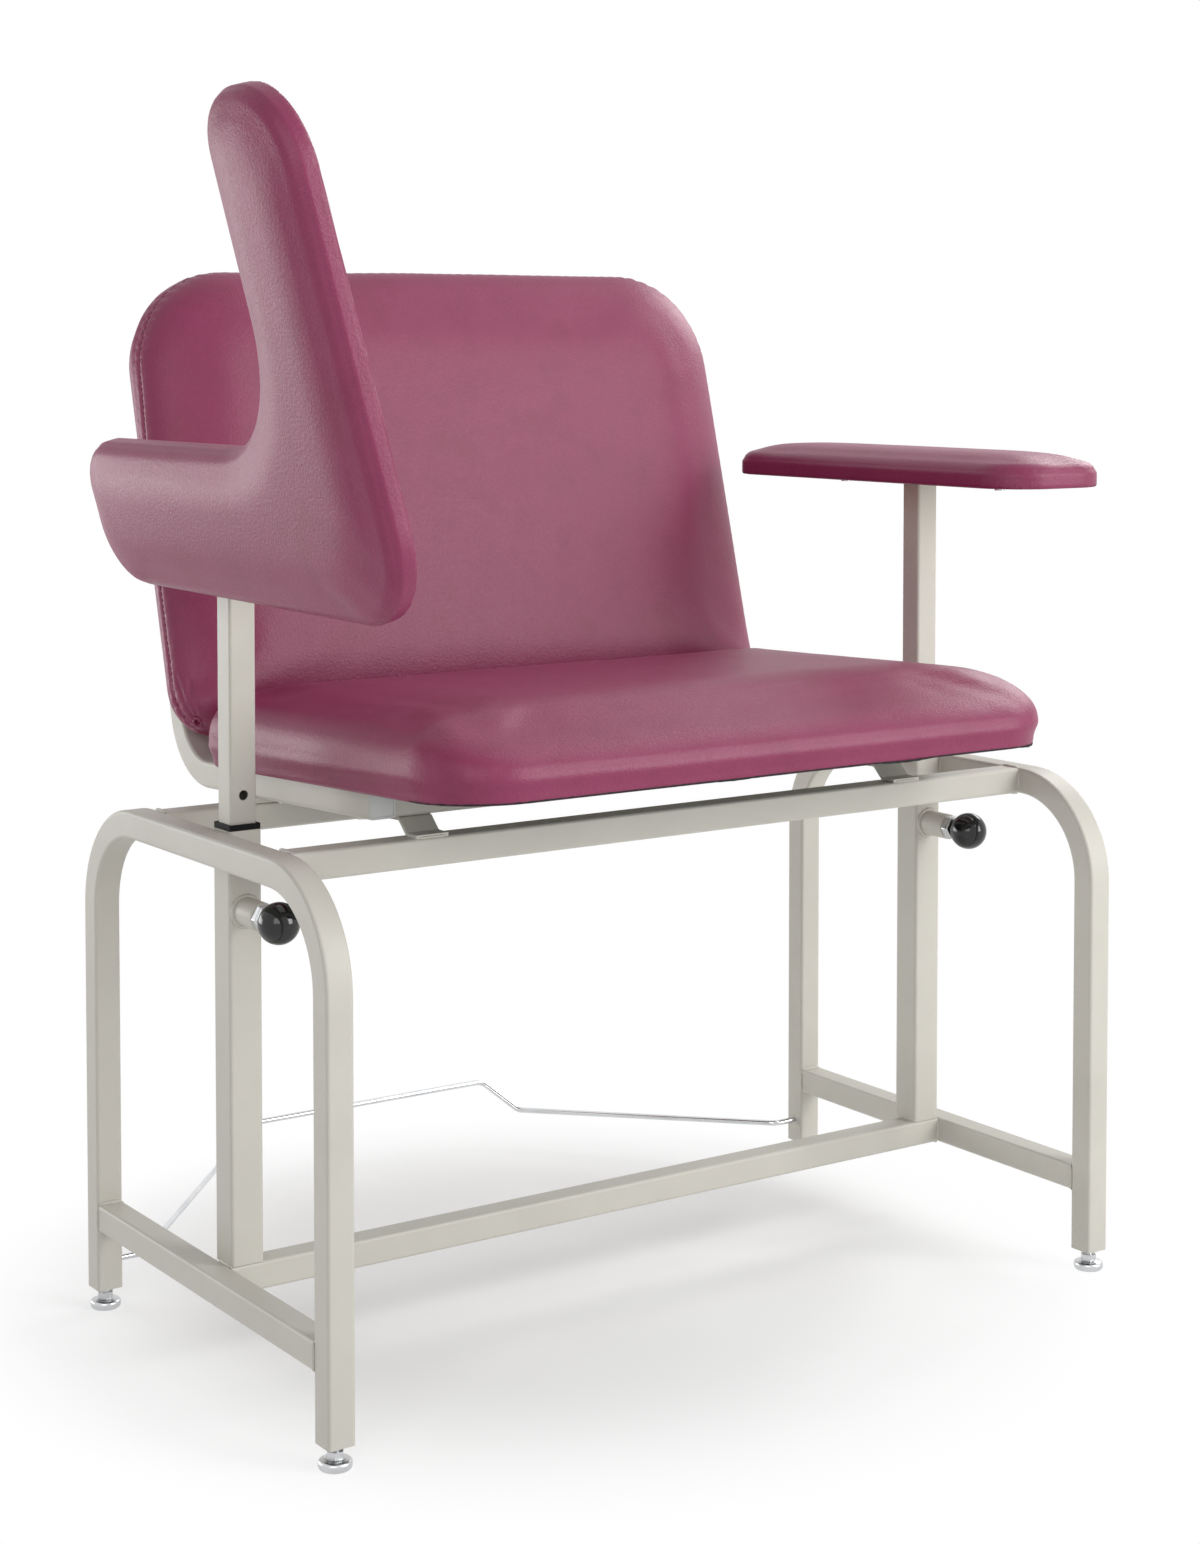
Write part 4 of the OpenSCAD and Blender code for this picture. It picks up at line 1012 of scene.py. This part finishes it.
class BackCushion(Cushion):
    """Boxed cushion with a stitched seam round its side, gathers, and a knot at a low corner."""

    SEAM = 33 * MM              # its height
    SEAM_DEPTH = 26 * MM        # how deep in from the outline the mesh is refined and gathered
    FINE_TOP = 48 * MM          # up to what height it is refined
    FINE_TOP_KNOT = 64 * MM     # and near the knot
    GROOVE, GROOVE_W = 1.5 * MM, 2.2 * MM
    PUCKER = 13 * MM            # length of each gather
    PUCKER_OFF, PUCKER_W = 5 * MM, 4 * MM
    FOLD, FOLD_W = 2.6 * MM, 2.3 * MM
    FOLD_FADE = 40 * MM         # distance from the knot over which the folds die out
    STITCH, THREAD_R = 6 * MM, 0.6 * MM
    # places in mm, in the cushion's space
    KNOT = (-326.6, -13.8, 45.9)
    KNOT_NORMAL = (-0.62, -0.67, 0.41)
    CREASES = (
        ((-343, 60, 34), (-344, 23, 31), (-342, 8, 35), (-338, -3, 36), (-332, -12, 38), KNOT),
        ((-342, 32, 41), (-338, 8, 46), (-331, -8, 47), KNOT),
        ((-334, 26, 52), (-330, -4, 52), KNOT),
        (KNOT, (-319, -19, 45), (-309, -21, 50)),
    )
    # end, point that it bends toward on the way, and radius of the raised folds out of the knot
    RAISED = (((-339, 2, 39), (-334, -9, 41), 1.8), ((-318, -18, 40), (-325, -17, 41), 1.7))

    def rounder(self, out):
        """Rounder edges all round, but a tight one below."""
        return (14 - 26 * np.clip(-out[:, 1] * 1.6, 0, 1)) * MM

    def fuller(self, co, out):
        """The left side bulges most, the top and upper right least."""
        top = ease((co[:, 1] - 150 * MM) / (230 * MM))
        right = ease(-co[:, 0] / (200 * MM))
        to_left, to_right, to_top = np.clip((out[:, 0], -out[:, 0], out[:, 1]), 0, 1)
        return 1 - 0.65 * to_right * top - 0.3 * to_top * right + to_left * (0.8 - 0.1 * top)

    def taut(self, co):
        """Smooths the front face and its edges, but for the corner with the knot."""
        x, y, z = co.T
        share = 0.6 * np.clip((z - 34 * MM) / (16 * MM), 0, 1)
        share *= np.clip(np.maximum(x + 290 * MM, y - 70 * MM) / (60 * MM), 0, 1)
        return self.relax(co, share[:, None], 45)

    def seam_band(self):
        """Finer mesh where the seam, gathers and creases are."""
        bm = bmesh.new()
        bm.from_mesh(self.obj.data)
        bm.verts.ensure_lookup_table()
        depth = self.rim(np.array([v.co[:2] for v in bm.verts]))[0]
        fine = []
        for v, d in zip(bm.verts, depth):
            by_knot = v.co.x < -280 * MM and v.co.y < 70 * MM
            top = self.FINE_TOP_KNOT if by_knot else self.FINE_TOP
            fine.append(d < self.SEAM_DEPTH and v.co.z < top)
        edges = [e for e in bm.edges if all(fine[v.index] for v in e.verts)]
        bmesh.ops.subdivide_edges(bm, edges=edges, cuts=1, use_grid_fill=True, smooth=0.6)
        bm.to_mesh(self.obj.data)
        bm.free()

    def gather(self, co):
        """The seam's groove, and the puckers beside it, deepest at the corners."""
        band = np.flatnonzero((co[:, 2] < 50 * MM) & (co[:, 2] > 4 * MM))
        depth, out, along = self.rim(co[band, :2])
        side = depth < self.SEAM_DEPTH
        band, out, along = band[side], out[side], along[side]
        off = co[band, 2] - self.SEAM
        corner = np.clip((np.abs(out[:, 0] * out[:, 1]) - 0.02) / 0.2, 0, 1)
        uneven = 1.3 * np.sin(along / (31 * MM))
        pucker = 1 - np.abs(np.sin(math.pi * along / self.PUCKER + uneven))
        beside = np.exp(-((np.abs(off) - self.PUCKER_OFF) / self.PUCKER_W) ** 2)
        dip = (0.3 + 1.1 * corner) * MM * pucker * beside
        groove = self.GROOVE * np.exp(-(off / self.GROOVE_W) ** 2)
        co[band, :2] -= out * (dip + groove)[:, None]
        self.put(co)

    def crease(self, co):
        """Presses the folds round the knot into the skin, along its own normals."""
        normals = np.empty(len(co) * 3, np.float32)
        self.obj.data.vertices.foreach_get("normal", normals)
        x, y, z = co.T
        near = np.flatnonzero((x < -290 * MM) & (y < 80 * MM) & (z > 20 * MM))
        skin = co[near]
        away = np.linalg.norm(skin - np.array(self.KNOT) * MM, axis=1)
        depth = self.FOLD * np.exp(-away / self.FOLD_FADE)
        press = np.zeros(len(near))
        for line in self.CREASES:
            points = np.array(line) * MM
            off = np.ones(len(near))
            for a, b in zip(points, points[1:]):
                t = np.clip((skin - a) @ (b - a) / ((b - a) @ (b - a)), 0, 1)
                off = np.minimum(off, np.linalg.norm(skin - a - t[:, None] * (b - a), axis=1))
            press = np.maximum(press, depth * np.exp(-(off / self.FOLD_W) ** 2))
        co[near] -= normals.reshape(-1, 3)[near] * press[:, None]
        self.put(co)

    def stitches(self):
        """Dashes of thread along the seam, laid on the skin."""
        mesh = self.obj.data
        skin = BVHTree.FromPolygons([v.co for v in mesh.vertices],
                                    [p.vertices for p in mesh.polygons])
        loop = dense(outline(self.corners, self.radii, steps=24), self.STITCH)
        dashes = []
        for i, (a, b) in enumerate(zip(loop, np.roll(loop, -1, 0))):
            x, y = unit(b - a)
            out = Vector((y, -x, 0))
            points = []
            for t in (0.12, 0.45, 0.78):
                start = Vector((*(a + (b - a) * t), self.SEAM)) + out * 30 * MM
                hit = skin.ray_cast(start, -out, 60 * MM)[0]
                if hit is not None:
                    points.append(hit + out * 0.25 * MM)
            if len(points) == 3:
                dashes.append(rippled_tube(points, self.THREAD_R, i, rise=0))
        self.place("back_stitches", *joined(dashes), "thread", "vinyl", 70)

    def corner_fold(self):
        """Pinched loop of vinyl with two raised folds running out of it."""
        out = Vector(self.KNOT_NORMAL).normalized()
        at = Vector(self.KNOT) * MM - out * 0.4 * MM
        u = out.orthogonal().normalized()
        v = out.cross(u)
        loop = [at + ((u * math.cos(t) + v * math.sin(t) * 1.15) * 4.0
                      + out * 0.8 * math.sin(2 * t)) * MM for t in around(24)]
        parts = [rippled_tube(loop, 1.7 * MM, 7, closed=True, rise=0.15)]
        for end, bend, r in self.RAISED:
            bend, end = Vector(bend) * MM, Vector(end) * MM - out * 3 * MM
            points = [at * (1 - t) ** 2 + bend * 2 * t * (1 - t) + end * t * t
                      for t in np.linspace(0.2, 1, 16)]
            parts.append(rippled_tube(points, r * MM, 9, rise=0.1))
        self.place("back_corner_fold", *joined(parts), "vinyl", "vinyl", 80)

    def extra(self):
        self.seam_band()
        co = self.coords()
        self.gather(co)
        self.crease(co)
        self.stitches()
        self.corner_fold()


def box_corners(x0, x1, y0, y1):
    return [(x1, y0), (x1, y1), (x0, y1), (x0, y0)]


def mm(*values):
    return tuple(v * MM for v in values)


SEAT_W, SEAT_D, SEAT_FRONT, SEAT_T = mm(680, 468, 280, 70)
BACK_H, BACK_DROP, BACK_T = mm(461, 23, 70)
SIDE_PAD_W, SIDE_PAD_L, SIDE_PAD_MID = mm(140, 459, 15)
FLIP_CORNERS = [mm(388, -363), mm(388, -235), mm(99, -235), mm(99, 158), mm(-33, 158),
                mm(-39, -375)]
THICK = dict(edge_r=26 * MM, crown=5 * MM, voxel=6 * MM, cap=6 * MM, calm=10, fill=0.75,
             hem=12 * MM, square=9 * MM, crisp=5, loose=14 * MM)
THIN = dict(height=25 * MM, edge_r=12 * MM, low_r=3 * MM, crown=6 * MM, run=38 * MM,
            voxel=4 * MM, cap=3 * MM, calm=24, fill=0.7, hem=15 * MM, square=6 * MM, crisp=7,
            loose=4 * MM, tuck=0, swell=0.8 * MM, waves=0.25 * MM)
cushions = [
    SeatCushion(
        name="seat_cushion", node="seat_pad", body="frame", space=seat_space(),
        corners=box_corners(-SEAT_W / 2, SEAT_W / 2, -SEAT_FRONT, SEAT_D - SEAT_FRONT),
        radii=mm(75, 30, 30, 75), heart=(0, 0), height=SEAT_T - 2 * MM, low_r=7 * MM,
        run=100 * MM, tuck=5 * MM, bulge=4 * MM, fall=(-SEAT_FRONT, 130 * MM, 26 * MM), **THICK),
    BackCushion(
        name="back_cushion", node="back_pad", body="frame", space=back_space(),
        corners=box_corners(-SEAT_W / 2, SEAT_W / 2, -BACK_DROP, BACK_H - BACK_DROP),
        radii=mm(45, 100, 100, 45), heart=(0, BACK_H / 2), height=BACK_T - 2 * MM, low_r=9 * MM,
        run=90 * MM, tuck=6.5 * MM, bulge=10 * MM, **THICK),
    Cushion(
        name="flip_cushion", node="flip_pad", body="flip_arm",
        space=flip_space() @ Matrix.Translation((0, 0, PIVOT_DROP)),
        corners=FLIP_CORNERS, radii=mm(72, 48, -110, 45, 62, 75), heart=mm(33, -305), **THIN),
    Cushion(
        name="side_cushion", node="side_pad", body="arm_post_left",
        space=Matrix.Translation(ORIGIN + Vector((POST_X, 0, ARM_Z))),
        corners=box_corners(-SIDE_PAD_W / 2, SIDE_PAD_W / 2,
                            SIDE_PAD_MID - SIDE_PAD_L / 2, SIDE_PAD_MID + SIDE_PAD_L / 2),
        radii=mm(50, 50, 50, 50), heart=(0, SIDE_PAD_MID), **THIN),
]
for c in cushions:
    c.add_cloth()
for f in range(1, CLOTH_FRAMES + 1):
    bpy.context.scene.frame_set(f)
for c in cushions:
    c.harvest()
bpy.context.scene.frame_set(1)
for c in cushions:
    c.finish()
